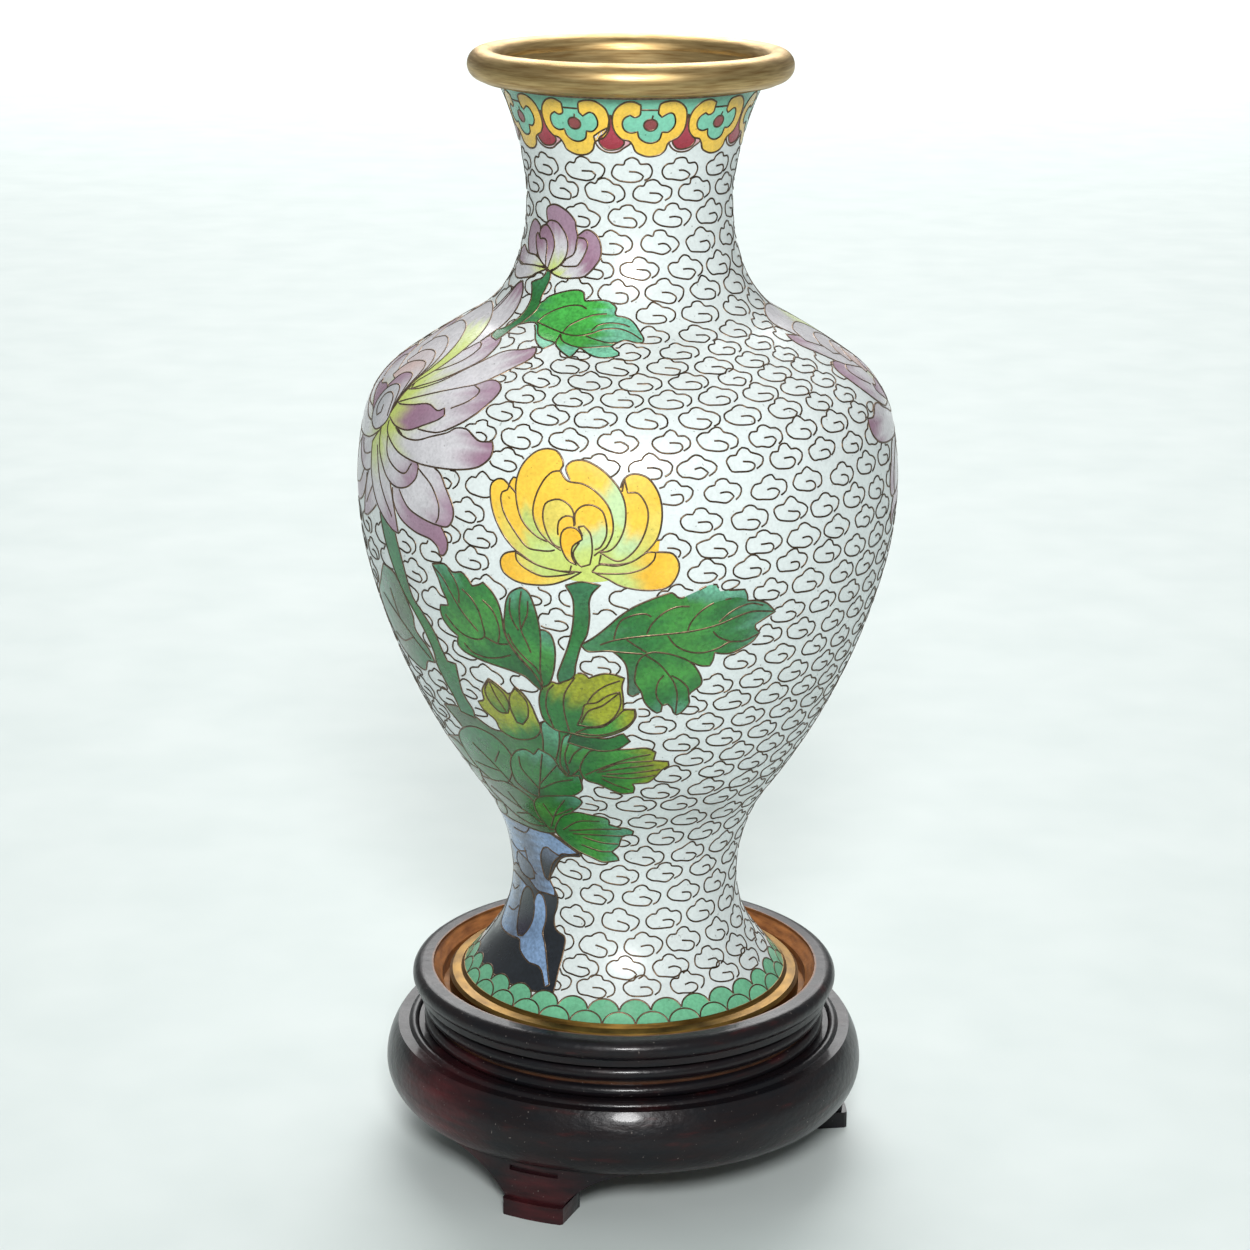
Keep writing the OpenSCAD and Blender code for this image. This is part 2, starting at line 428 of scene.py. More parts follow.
YELLOW_FLOWER = [
    # the lime glass that shows between the petals' feet
    Cell([(-10, 9), (-8, 7.9), (-4, 7.8), (-1, 8.6), (3.8, 10.6), (4.6, 14), (2, 14), (-5, 13.5),
         (-9, 13.5)], [LIME, LIME, GOLD], (-6, 9), (5, 12.5), edge=False),
    # right-hand petals at the back
    Cell([(-0.5, 22.9), (1, 23.6), (3, 22.9), (4.5, 20.5), (4.9, 17.5), (4.3, 14.5), (2.8, 12.5), (0.8, 11),
         (-1.5, 10.5), (-4, 10.6), (-3, 15), (-1.5, 20)], [PALE_GREEN, BUTTER, GOLD], (-2, 11), (3, 22)),
    Cell([(-0.5, 22.9), (0, 20.9), (1.5, 20.8), (2.7, 19), (2.9, 17), (2.2, 14.5), (0.8, 12.3), (-1.3, 11),
         (-4, 12.3), (-1.6, 17)], [LIME, MINT, GOLD, GOLD], (-3, 11), (2.4, 20)),
    # left-hand petals
    Cell([(-17.6, 21), (-17, 22.2), (-15, 22), (-14, 17), (-16, 16)], [GOLD]),
    Cell([(-17.6, 21), (-18.5, 21.7), (-19.5, 21.7), (-20.4, 21), (-20.6, 20), (-20.3, 18), (-19.5, 15.8),
         (-18, 13.4), (-16, 11.5), (-13, 9.8), (-10, 9.2), (-8.2, 9.2), (-8, 11), (-10.5, 13), (-14, 16),
         (-16.5, 20)], [LIME, PALE_GREEN, BUTTER, GOLD], (-9, 9), (-19.5, 19)),
    Cell([(-17.6, 21), (-17.8, 20.3), (-18.6, 19.9), (-18.8, 19), (-18.2, 17), (-16.5, 14.5), (-14.5, 12.3),
         (-12.5, 12), (-10.8, 12.1), (-9, 13), (-14, 16), (-16.5, 20)], [MINT, PALE_GREEN, GOLD, GOLD],
         (-10, 11), (-17, 19)),
    Cell([(-16.4, 11.5), (-18, 11), (-18.8, 9.8), (-18.4, 8.2), (-16.5, 7), (-14, 6.7), (-11, 7), (-8.5, 8),
         (-6.5, 9.2), (-8, 9.2), (-10, 9.2), (-13, 9.8), (-16, 11.5)], [PALE_GREEN, BUTTER, GOLD, AMBER],
         (-7, 9), (-18, 9)),
    Cell([(-16.3, 11.4), (-16.2, 10.3), (-15, 9.2), (-12.5, 8.2), (-10, 8.4), (-7.5, 9), (-10, 9.2),
         (-13, 9.8)], [LIME, PALE_GREEN, BUTTER], (-8, 9), (-16, 10)),
    Cell([(-10.6, 13.2), (-13, 14), (-15.2, 16), (-16.2, 18.5), (-16.5, 21.5), (-15.8, 24), (-14.2, 26),
         (-12.5, 26.8), (-10.7, 26.6), (-9.7, 25.4), (-9.5, 24.5), (-9.9, 23.7), (-9, 18), (-9.6, 13.5)],
         [PALE_GREEN, PALE_GREEN, GOLD, GOLD, GOLD], (-12, 13), (-13, 26)),
    Cell([(-8.9, 23.5), (-9, 24.4), (-8.2, 25.2), (-6.5, 25.4), (-4.5, 24.6), (-2.5, 23), (-1, 21),
         (-0.3, 18.8), (-0.4, 16), (-1.4, 13.6), (-2.8, 12.4), (-5, 12.5), (-6, 18)], [PALE_GREEN, MINT,
         MINT, GOLD, GOLD], (-1, 14), (-7.5, 24)),
    Cell([(-9.9, 23.7), (-8.7, 22.3), (-6.5, 22), (-4.5, 20.9), (-2.8, 19), (-2.1, 17), (-2.1, 15),
         (-3, 13), (-4, 12.3), (-6, 11), (-9, 12), (-11.5, 13.6), (-13, 15.3), (-13.7, 17.5), (-13.3, 20),
         (-12.2, 22.3), (-11, 23.5)], [LIME, PALE_GREEN, GOLD, GOLD, GOLD], (-7, 11), (-7.5, 23)),
    Cell([(4, 12.3), (5, 12.3), (6.5, 12), (7.4, 10.5), (7.2, 8.8), (6, 7.1), (4, 6.6), (1.5, 6.7),
         (-1, 7.3), (-3, 8.4), (-5, 9.3), (-4, 10.4), (-1.5, 10.3), (0.8, 11), (2.8, 12.3)], [LIME,
         PALE_GREEN, AMBER, GOLD], (-4, 9), (7, 9.4)),
    Cell([(-5, 9.3), (-4, 9.1), (0, 9.2), (2.5, 10), (3.8, 11.2), (4, 12.3), (2.8, 12.3), (0.8, 11),
         (-1.5, 10.3), (-4, 10.4)], [LIME, PALE_GREEN, GOLD], (-5, 9), (4, 11.5)),
    # the curled petals of the heart
    Cell([(-10.4, 13), (-11.6, 14.8), (-12.2, 17), (-11.9, 18.8), (-11, 19.4), (-9.8, 19.6), (-8.5, 19),
         (-7.7, 17.8), (-7.6, 15), (-8.5, 12.5)], [PALE_GREEN, BUTTER, BUTTER], (-9.5, 12.5), (-10, 19)),
    Cell([(-7.5, 17.6), (-6.5, 18.8), (-5, 19), (-3.6, 18.2), (-3, 16.5), (-3, 14.6), (-3.8, 13),
         (-4.6, 12.6), (-6.5, 12), (-7.2, 14.5)], [PALE_GREEN, MINT, GOLD, GOLD], (-4.5, 12), (-6, 19)),
    Cell([(-9.9, 14.5), (-9.8, 16.5), (-8.8, 17.3), (-7.8, 17.2), (-7.6, 16.3), (-7.8, 14.5), (-9, 13.5)],
         [GOLD]),
    Cell([(-7, 15.8), (-6.2, 16), (-5.3, 15), (-5, 13.5), (-5, 12), (-5.3, 10.4), (-6.5, 10), (-7.2, 10.6),
         (-7.7, 12), (-6.8, 13.6), (-6.4, 14.5)], [LIME, PALE_GREEN, MINT, BUTTER], (-6, 10), (-6, 16)),
    Cell([(-9.5, 13), (-9.4, 14.8), (-8.6, 15.6), (-7.4, 15.6), (-6.6, 14.8), (-6.4, 14), (-7, 13.6),
         (-7.8, 12.9), (-7.9, 11.5), (-7.2, 10.2), (-8.6, 11)], [BUTTER, AMBER, AMBER], (-8, 10.5),
         (-8, 14)),
]

# ---------------------------------------------------------------- stem and leaves of the yellow flower

YELLOW_LEAVES = [
    # the stem with its calyx
    Cell([(-8.9, 7), (-6.5, 7.7), (-3.8, 7.3), (-5, 6), (-5.5, 4.5), (-5.5, 2), (-6, -1), (-7, -3),
         (-8, -6.5), (-8.6, -9), (-11, -10.4), (-11.2, -9), (-10.3, -6.5), (-9.3, -4), (-8.4, -1),
         (-7.9, 2), (-7.9, 5)], [STEM, LEAF, STEM], (-7, 7), (-10, -10)),
    # the left leaves: three blades
    Cell([(-13.3, -0.7), (-12.4, -0.7), (-11.6, -1.4), (-11.2, -3), (-11.2, -5), (-11.6, -7.5),
         (-12.2, -9.5), (-13, -11), (-15, -12), (-14.6, -8), (-14.2, -4)], [LEAF, BRIGHT_LEAF, TEAL],
         (-14, -11), (-12, -1)),
    Cell([(-31.5, 7.2), (-29, 7.7), (-27.4, 6.7), (-25.8, 7), (-24.7, 6.2), (-24, 5.1), (-22.8, 5.5),
         (-22, 6), (-20.8, 5), (-19.8, 3.2), (-19.4, 1), (-19.3, -2), (-18.2, -5), (-16, -8), (-14, -10),
         (-14.4, -12.4), (-15.6, -11.2), (-17, -9.8), (-20, -8.9), (-25, -8), (-28, -7.1), (-29.1, -6),
         (-28.9, -5), (-28.6, -4.3), (-30, -3.4), (-31.2, -1.8), (-31.4, -0.3), (-31.1, 0.6), (-29.4, 0.9),
         (-29.4, 1.8), (-30.1, 3.4), (-30.5, 5)], [DEEP_LEAF, LEAF, BRIGHT_LEAF, LEAF, TEAL], (-17, -10),
         (-29, 9), [[(-31.3, 6.9), (-29.6, 5.4), (-28.3, 3.2), (-26.6, 0.3), (-24.2, -2.6)], [(-28.3, 7.1),
         (-27.2, 5.6), (-26.7, 3.8), (-27, 1.8)], [(-26, 4.3), (-24.4, 3), (-23.4, 1), (-23.1, -1.2),
         (-23.1, -3.2), (-24.5, -4.1), (-27, -3.9), (-29, -2.6), (-30.4, -0.8)], [(-22.4, 3.1), (-21, 1.8),
         (-20.3, 0), (-20.2, -2.2), (-20.8, -4.1)], [(-27.6, -5.4), (-26.2, -6.8), (-23.6, -7.3),
         (-21.2, -6.9), (-18.8, -6)], [(-23, -3.4), (-20.8, -4.2), (-19, -4)]]),
    Cell([(-15.4, 6), (-16.3, 5.8), (-17.5, 5), (-18.3, 3.6), (-18.8, 1.5), (-19.2, -1), (-18.8, -3.4),
         (-17.2, -6.2), (-15.8, -8), (-14.6, -10.2), (-14.1, -12), (-14, -8), (-13.6, -5), (-13.3, -2),
         (-13.4, 0.6), (-13.8, 3), (-14.5, 5.2)], [LEAF, BRIGHT_LEAF, LEAF, LEAF, TEAL], (-14.5, -10),
         (-15.8, 6), [[(-17.6, 4.2), (-17.9, 2.2), (-17.6, 0.4), (-16.8, -1.2)], [(-15.7, 5.5), (-16.2, 3),
         (-16.4, 0.5), (-16.3, -1.4), (-15.7, -3.2), (-15.2, -5)], [(-14.8, 4), (-15, 2), (-15.7, 0.4),
         (-16.3, -0.8)], [(-18.7, -2), (-18, -4), (-16.5, -6), (-15, -7.5), (-14.2, -9)]]),
    # the big right leaf with its dark lower edge, and the small leaf hanging under it
    Cell([(-3, -3.2), (-1.6, -4.2), (-0.4, -5.6), (0.1, -7), (0.3, -9.5), (0.3, -12), (1.1, -12.5),
         (2.1, -11.9), (3, -11.5), (4, -8), (5, -4), (2, -2.5)], [LEAF, DUSKY_LEAF], (2, -4), (0.8, -12)),
    Cell([(-7, -2.8), (-5, -1.4), (-3, 0.4), (-1, 2.4), (1, 3.9), (3, 4.9), (5, 5.7), (6.5, 6.1),
         (7.3, 5.4), (8, 5.2), (10, 6.1), (12, 7), (13.1, 7), (13.7, 5.9), (15.5, 5.9), (17.6, 5.8),
         (18.1, 4.9), (18.3, 3.9), (20, 3.7), (21.7, 3), (23.4, 1.4), (21.5, 0.4), (20.2, -0.3), (20.3, -1),
         (21.2, -1.9), (20.2, -3.3), (18.5, -4.3), (16.7, -5), (15, -4.9), (13.9, -4.6), (13.8, -6),
         (13.4, -7), (12, -6.9), (10.5, -6.2), (8.8, -5.4), (6, -4.6), (2.5, -4.2), (-0.8, -3.9),
         (-3, -3.7), (-6, -3.9)], [BLUE_LEAF, LEAF, BRIGHT_LEAF, LEAF, TEAL], (-5, -3), (22, 4),
         [[(-4, -2.6), (-2, -1.8), (1, -1.2), (5, -0.8), (10, -0.4), (14, 0.4), (17, 1.5), (19.4, 2),
         (23, 1.5)], [(-1.9, -1.5), (-1.6, 0), (-0.8, 1.7), (1, 2.6), (2.8, 2.8), (3.6, 2.3)], [(3, -0.6),
         (3.8, 1.2), (5.4, 2.9), (7.3, 3.8), (9.2, 3.8)], [(9.2, -0.3), (9.6, 1.1), (10.9, 2.8),
         (12.9, 4.1), (16, 4.7)], [(14, 0.8), (15.4, 2.1), (17, 3), (19, 3.4), (21, 2.8)], [(6.2, -1),
         (7.4, -2.7), (9.5, -4), (12, -4.4), (14.5, -3.8), (16.2, -2.9), (18.5, -3), (21, -2.1)],
         [(13.2, -0.7), (14.2, -1.8), (16.2, -2.8)], [(0, -1.6), (1.8, -3), (3.5, -4.2)]]),
    Cell([(8.6, 5.5), (10, 6.1), (12, 7), (13.1, 7), (13.7, 5.9), (15.5, 5.9), (17.6, 5.8), (18.1, 4.9),
         (18.2, 4.2), (16.2, 4.7), (12.9, 4.1), (10.9, 3.2), (9.6, 3.8)], [BRIGHT_LEAF, TEAL, AQUA],
         (12.6, 3.4), (13.2, 6.6), edge=False),
    Cell([(1.4, -8), (1.4, -9.6), (2.5, -11.7), (2.8, -13), (3.4, -14.3), (4.5, -15.6), (5.3, -16.2),
         (6, -15.9), (6.1, -14.6), (7, -14.3), (7.8, -15.2), (8.2, -16.3), (8.8, -16.8), (9.5, -16.4),
         (10.4, -15.2), (10.8, -14.2), (10.5, -12.6), (11.4, -11.6), (12.4, -10.6), (12.3, -9.4),
         (11.5, -7.8), (10.4, -6.3), (9, -5.3), (6.6, -4.3), (4, -3.9), (2.5, -4.6), (1.7, -6)], [LEAF,
         BRIGHT_LEAF, LEAF, TEAL], (5, -4), (7.5, -17), [[(2.8, -4.3), (5, -6), (6.6, -8), (7.8, -10),
         (8.5, -12.5), (8.6, -16.6)], [(6, -8.3), (5.2, -9.5), (4.9, -11.4), (5.2, -13), (6.1, -14.5)],
         [(7.2, -8.4), (8.8, -9.5), (10.1, -11), (10.5, -12.5)]]),
]

# ---------------------------------------------------------------- the mass of leaves above the rock

LOW_LEAVES = [
    # the ground of the mass, which its leaves cover
    Cell([(-40, -21.5), (-37, -20.7), (-34.7, -20.5), (-31, -21.5), (-26.5, -23.8), (-20, -22.5),
         (-14, -19), (-9.8, -21), (-4, -24), (-7, -30), (-9.5, -35), (-10, -38.5), (-12.5, -40.8),
         (-15, -44), (-14.5, -48.3), (-18, -56), (-25, -60), (-38, -60), (-49, -60), (-54, -57), (-57, -52),
         (-57, -45), (-55, -39), (-52, -35.5), (-48, -32.5), (-43, -30.5), (-38, -28.5), (-37, -26),
         (-38.5, -23.5)], [GREY_GREEN, GREY_GREEN, LEAF], (-60, -40), (-12, -40)),
    # leaves at the left side
    Cell([(-41, -36), (-44, -32.5), (-49, -32.8), (-54, -35), (-58, -39), (-60, -44), (-56, -47),
         (-51, -48), (-45, -45.5), (-41.5, -41)], [LEAF, GREY_GREEN, TEAL], (-41, -40), (-60, -42),
         [[(-42, -40), (-48, -40), (-54, -41), (-59, -43.5)], [(-46, -40), (-50, -36.5), (-53, -35)],
         [(-47, -40.5), (-51, -44), (-55, -46.5)]]),
    Cell([(-41, -49), (-45, -46.5), (-51, -48.5), (-57, -48), (-62, -51), (-62, -56), (-57, -60),
         (-49, -60.5), (-43, -57)], [LEAF, GREY_GREEN, TEAL], (-41, -52), (-62, -54), [[(-42, -53),
         (-49, -54), (-55, -54.5), (-61, -54)], [(-47, -54), (-51, -51), (-55, -49.5)], [(-48, -54.5),
         (-52, -58), (-56, -59.5)]]),
    Cell([(-41, -30), (-34, -25), (-28, -25.5), (-25, -30), (-27, -36), (-31, -41), (-37, -43), (-42, -38)],
         [DEEP_LEAF, LEAF, STEM], (-26, -44), (-38, -27), [[(-29, -41), (-32, -35), (-36, -30)],
         [(-31, -37), (-36, -37), (-40, -37)], [(-31, -34), (-28, -30)]]),
    Cell([(-43, -43), (-36, -42), (-31, -41), (-26, -44), (-24, -50), (-25, -57), (-31, -58), (-38, -56),
         (-44, -50)], [LEAF, GREY_GREEN], (-24, -52), (-42, -46), [[(-26, -56), (-33, -51), (-41, -46)],
         [(-30, -53), (-36, -55)], [(-32, -51.5), (-33, -45)]]),
    Cell([(-15.6, -20), (-14, -18.8), (-12.4, -19.5), (-12.5, -23), (-13.5, -27), (-15, -31), (-16.5, -28),
         (-16, -24)], [LEAF, TEAL], (-15, -31), (-14, -19)),
    Cell([(-12, -34), (-13.5, -31), (-12.8, -26.5), (-11.5, -22.5), (-9.5, -21.8), (-8, -22.8), (-6.6, -25),
         (-6.4, -28), (-7.5, -31.5), (-9.6, -34.3), (-11, -34.8)], [DEEP_LEAF, LEAF, BRIGHT_LEAF, TEAL],
         (-11, -34), (-8.5, -23), [[(-11.3, -33.5), (-8.6, -30), (-7.2, -27), (-7.4, -24.5)], [(-11.6, -30),
         (-10.2, -27), (-8.3, -25)], [(-12, -33), (-12.2, -28), (-10.8, -24)]]),
    Cell([(-27, -36), (-25.5, -31.5), (-23, -28.5), (-20.5, -27.6), (-19, -28.6), (-17.5, -26.7),
         (-15, -28.5), (-14, -31.5), (-12.8, -34), (-10, -33.5), (-9.7, -36), (-10, -38.5), (-12.5, -40.8),
         (-16, -42), (-20, -43.5), (-24, -43), (-27, -40)], [DEEP_LEAF, LEAF, LEAF, TEAL], (-22, -44),
         (-16, -28), [[(-22, -43), (-19.5, -36), (-17, -28)], [(-21, -40), (-23.5, -34), (-23, -30)],
         [(-20.5, -40), (-15.5, -36.5), (-11.5, -35)], [(-20, -38), (-16, -33), (-14.5, -31)]]),
    Cell([(-26, -53), (-25, -47), (-22, -43.5), (-17, -41.8), (-12.5, -41), (-11, -42), (-10.6, -43.2),
         (-12, -45.5), (-14.5, -48.3), (-16, -52), (-19, -57), (-24, -58)], [LEAF, BRIGHT_LEAF, LEAF, TEAL],
         (-24, -57), (-11, -42), [[(-23, -56.5), (-19, -49), (-15, -43)], [(-20, -51), (-16, -48),
         (-13.5, -46)], [(-21, -52), (-22, -46)]]),
    # the right upper leaf of the mass
    Cell([(-7, -26), (-4.5, -25.5), (1, -25), (4, -24.8), (5.8, -26), (5.5, -28.3), (8.5, -28.8),
         (8.8, -30), (7.5, -31.2), (6.5, -33), (5, -35), (3, -35.3), (1.5, -35.5), (2, -37), (1.8, -38.6),
         (-1, -38.9), (-3.5, -37.5), (-6, -35.8), (-8.6, -34.6), (-9.4, -31)], [LEAF, BRIGHT_LEAF, OLIVE],
         (-8, -32), (8, -30), [[(-8.4, -33), (-4, -30), (1, -27.5), (4.8, -26.5)], [(-6, -32), (0, -30.4),
         (5.6, -29.6)], [(-5.5, -31.4), (-1, -29), (5.3, -28.4)], [(-4, -32.4), (1, -32), (7.2, -31)],
         [(-5, -33), (1, -33.6), (6.2, -32.8)], [(-5, -34), (-2, -36), (1, -37.5)]]),
    # the right lower leaf, over the rock
    Cell([(-22, -58), (-18, -51), (-14.5, -48.3), (-12, -47.8), (-8.5, -48.5), (-5.5, -49.2), (-4.4, -50.5),
         (-4.5, -52.3), (-2, -53.5), (0.5, -54), (2.4, -55.3), (2.2, -56.8), (-0.5, -57.5), (-1.5, -60),
         (-2, -62), (-4.2, -64.5), (-2.5, -66.5), (-2, -68), (-4, -68.5), (-7.5, -69), (-11, -67.5),
         (-15.5, -65.5), (-20, -62)], [LEAF, BRIGHT_LEAF, TEAL], (-20, -60), (0, -59), [[(-19, -57),
         (-13, -52), (-7, -51)], [(-17, -57), (-9, -55), (-1, -54.3)], [(-16, -58), (-8, -57.5),
         (0, -57.5)], [(-13, -59), (-7, -60.8), (-2.2, -61)], [(-14, -62.5), (-8, -64.5), (-4.5, -64.4)]]),
    # the two-lobed leaf and the broad yellow-green leaf on top
    Cell([(-24.3, -11.6), (-22.6, -12.6), (-21, -14.1), (-20.3, -13.9), (-19.2, -12.3), (-17.9, -13.6),
         (-16.9, -15.6), (-16.3, -18.5), (-16, -21.5), (-18, -24), (-22, -25), (-25, -23.5), (-25.6, -21),
         (-27.6, -19.2), (-28.3, -17.4), (-26.8, -16.7), (-26.5, -14.6), (-25.6, -13.2)], [LEAF, OLIVE,
         OLIVE], (-20, -24), (-23, -14)),
    Cell([(-24.3, -11.9), (-25.8, -14.4), (-25.4, -17), (-23.8, -18.8), (-22, -18.6), (-21.3, -16.5),
         (-22, -14)], [LEAF, OLIVE], (-23, -20), (-24, -13), [[(-24.3, -12.2), (-23.7, -15),
         (-22.4, -18.4)]]),
    Cell([(-19.3, -12.6), (-20.8, -14.8), (-21.2, -17.5), (-20.7, -20.5), (-19.4, -20.8), (-17.9, -18.5),
         (-17.6, -15.2)], [LEAF, OLIVE], (-20, -21), (-19.2, -14)),
    Cell([(-9.8, -21), (-4, -22.4), (-0.5, -21), (0.8, -23), (-1.5, -25), (-4.5, -25.7), (-8, -25),
         (-11, -24)], [LEAF, DEEP_LEAF], (-1, -22), (-9, -24)),
    Cell([(-14, -11.5), (-12.5, -10.3), (-11, -10.5), (-9, -8.8), (-7.8, -8.2), (-6.8, -8.2), (-6, -9),
         (-5, -8.5), (-3.5, -8), (-2, -8.1), (-0.3, -8.8), (-0.7, -10.5), (-0.5, -13), (-0.5, -15.3),
         (1.5, -15.3), (1.7, -17), (0.6, -19.2), (-1.2, -20.7), (-4, -21.9), (-7, -22.2), (-9.8, -21.6),
         (-13, -21), (-14.8, -19), (-15.2, -16.5), (-15, -14)], [LEAF, LEAF, OLIVE, OLIVE], (-12, -21),
         (-5, -8), [[(-1, -9.3), (-3.5, -10.5), (-5.5, -12.4), (-7, -15)], [(-10.4, -21), (-10.8, -16),
         (-10.3, -12.5), (-8.3, -9)], [(-13.3, -20.5), (-14, -16), (-13.3, -12.5), (-12, -10.8)]]),
    Cell([(-8.7, -19.3), (-6, -19.6), (-3.4, -18.6), (-1.7, -16.5), (-0.9, -14), (-1.1, -11.6), (-3, -12.4),
         (-5, -14), (-7, -14.6), (-7.7, -17)], [LEAF, OLIVE, OLIVE], (-9, -18), (-2, -13), [[(-8, -18.8),
         (-6.5, -16), (-4, -14.6), (-1.2, -11.9)]]),
    Cell([(-9.2, -21.3), (-5.4, -21.6), (-2.4, -20.8), (0.4, -19), (1.5, -17), (1.4, -15.4), (-0.3, -15.5),
         (-1.9, -17.4), (-4, -19.4), (-7, -20)], [LEAF, BRIGHT_LEAF, OLIVE], (-8, -21), (1, -16)),
]

# ---------------------------------------------------------------- the mauve chrysanthemum on the left

MAUVE_HALF = [
    # the pale glass that shows between the petals' feet
    Cell([(-46, 22), (-43, 22), (-36, 21.5), (-31, 24), (-31, 30), (-38, 35), (-46, 38)], [LIME, LILAC],
         (-45, 28), (-35, 27), edge=False),
    # petals behind, then those in front
    Cell([(-45.5, 71.3), (-43, 69), (-40.8, 65), (-39.7, 60), (-39.6, 56), (-40, 52), (-41, 45), (-46, 36),
         (-50, 45), (-51, 56), (-50, 64), (-48.3, 69.3)], [LIME, LILAC, LILAC, ROSE], (-46, 38),
         (-45.5, 71)),
    Cell([(-40.3, 48.2), (-39.8, 50.5), (-38.5, 51.4), (-36.8, 51.8), (-35, 50.8), (-33.9, 49),
         (-33.5, 46.5), (-33.8, 43.5), (-36, 40), (-39.5, 36), (-44.5, 32.5), (-45.5, 36)], [LIME, LILAC,
         MAUVE], (-45, 33), (-36, 51), [[(-40.3, 48.2), (-39, 47.7), (-38, 46.3), (-38.2, 43.5),
         (-39.5, 41), (-42, 38.5), (-44.5, 37)]]),
    Cell([(-50, 22), (-49, 18), (-47, 14.5), (-44.5, 12.3), (-41, 10.5), (-39.3, 10.3), (-40, 13),
         (-41.5, 17), (-44, 21), (-47, 25)], [LIME, LILAC, MAUVE], (-48, 24), (-40, 10), [[(-47.5, 22),
         (-45, 17), (-41, 12.5)]]),
    Cell([(-41, 18), (-40.5, 15), (-38.5, 12.8), (-35, 11.5), (-31.5, 11), (-30, 10), (-29.8, 9), (-29, 9),
         (-28.2, 10), (-28.1, 11.5), (-29.2, 13.2), (-32, 15), (-36, 17), (-39, 19)], [LILAC, MAUVE, ROSE],
         (-42, 18), (-28, 10)),
    Cell([(-41, 19), (-39, 17), (-36.5, 14.8), (-33, 13.8), (-30, 13.4), (-28, 13.5), (-27, 14.8),
         (-27, 16.5), (-28.5, 19), (-30.4, 21.3), (-35, 22)], [LILAC, LILAC, MAUVE], (-40, 19), (-27, 14),
         [[(-34.7, 21), (-31.5, 19), (-29.8, 16.5), (-29.8, 14.5), (-30.3, 13.7)]]),
    Cell([(-47.5, 26), (-47, 23), (-46, 21), (-43, 18.2), (-40, 17.2), (-37, 17.8), (-35, 19.5),
         (-34.7, 21.3), (-38, 24), (-43, 26)], [LIME, LILAC, MAUVE], (-47, 25), (-35, 19), [[(-44.5, 24.5),
         (-43.5, 21.5), (-41, 20), (-38, 19.6), (-36.4, 21.4)]]),
    Cell([(-46, 32), (-42, 33.3), (-39, 35.5), (-37, 38), (-35, 41), (-33.5, 43), (-32.5, 44.5),
         (-31, 46.5), (-29, 47.8), (-26, 48.6), (-24.5, 49.3), (-23, 50), (-22.3, 48.8), (-22.1, 47),
         (-22.8, 45.3), (-25, 42.5), (-27, 40), (-29.5, 37.3), (-32, 36), (-36, 34), (-40, 32),
         (-45, 29.5)], [LIME, LILAC, LILAC, ROSE], (-45, 31), (-23, 49)),
    Cell([(-45.5, 29.5), (-40, 32), (-36, 34), (-32, 36), (-30, 37), (-28, 38.6), (-26.2, 38.8),
         (-24.6, 37.8), (-24, 36), (-24.8, 33), (-26.5, 30.5), (-29, 28.4), (-32.5, 26.8), (-40, 27)],
         [LIME, LILAC, MAUVE], (-44, 29), (-24, 36), [[(-30, 36.8), (-28.3, 36), (-28, 34.8), (-29, 33),
         (-31.5, 31.2)]]),
    Cell([(-45.5, 28), (-45, 25), (-43, 23.5), (-40, 22.3), (-35, 21.7), (-30, 21.8), (-26, 22.2),
         (-23, 23), (-21.2, 24.5), (-20.9, 26), (-21.3, 27), (-23.5, 26.8), (-25, 27.5), (-26.5, 28.3),
         (-28.5, 28.2), (-30, 27.2), (-33, 26.1), (-36, 25), (-39, 24.8), (-42, 25.5)], [LIME, LILAC, LILAC,
         ROSE], (-45, 26), (-21, 26)),
    Cell([(-45.5, 29.6), (-44.5, 29.4), (-41, 30), (-37, 31), (-34, 30.3), (-32.8, 31), (-32, 29.8),
         (-33, 28.8), (-35.5, 27.5), (-39, 26), (-43, 26), (-46, 27)], [LIME, ROSE, MAUVE], (-46, 28),
         (-33, 30)),
]
bloom_x = -46
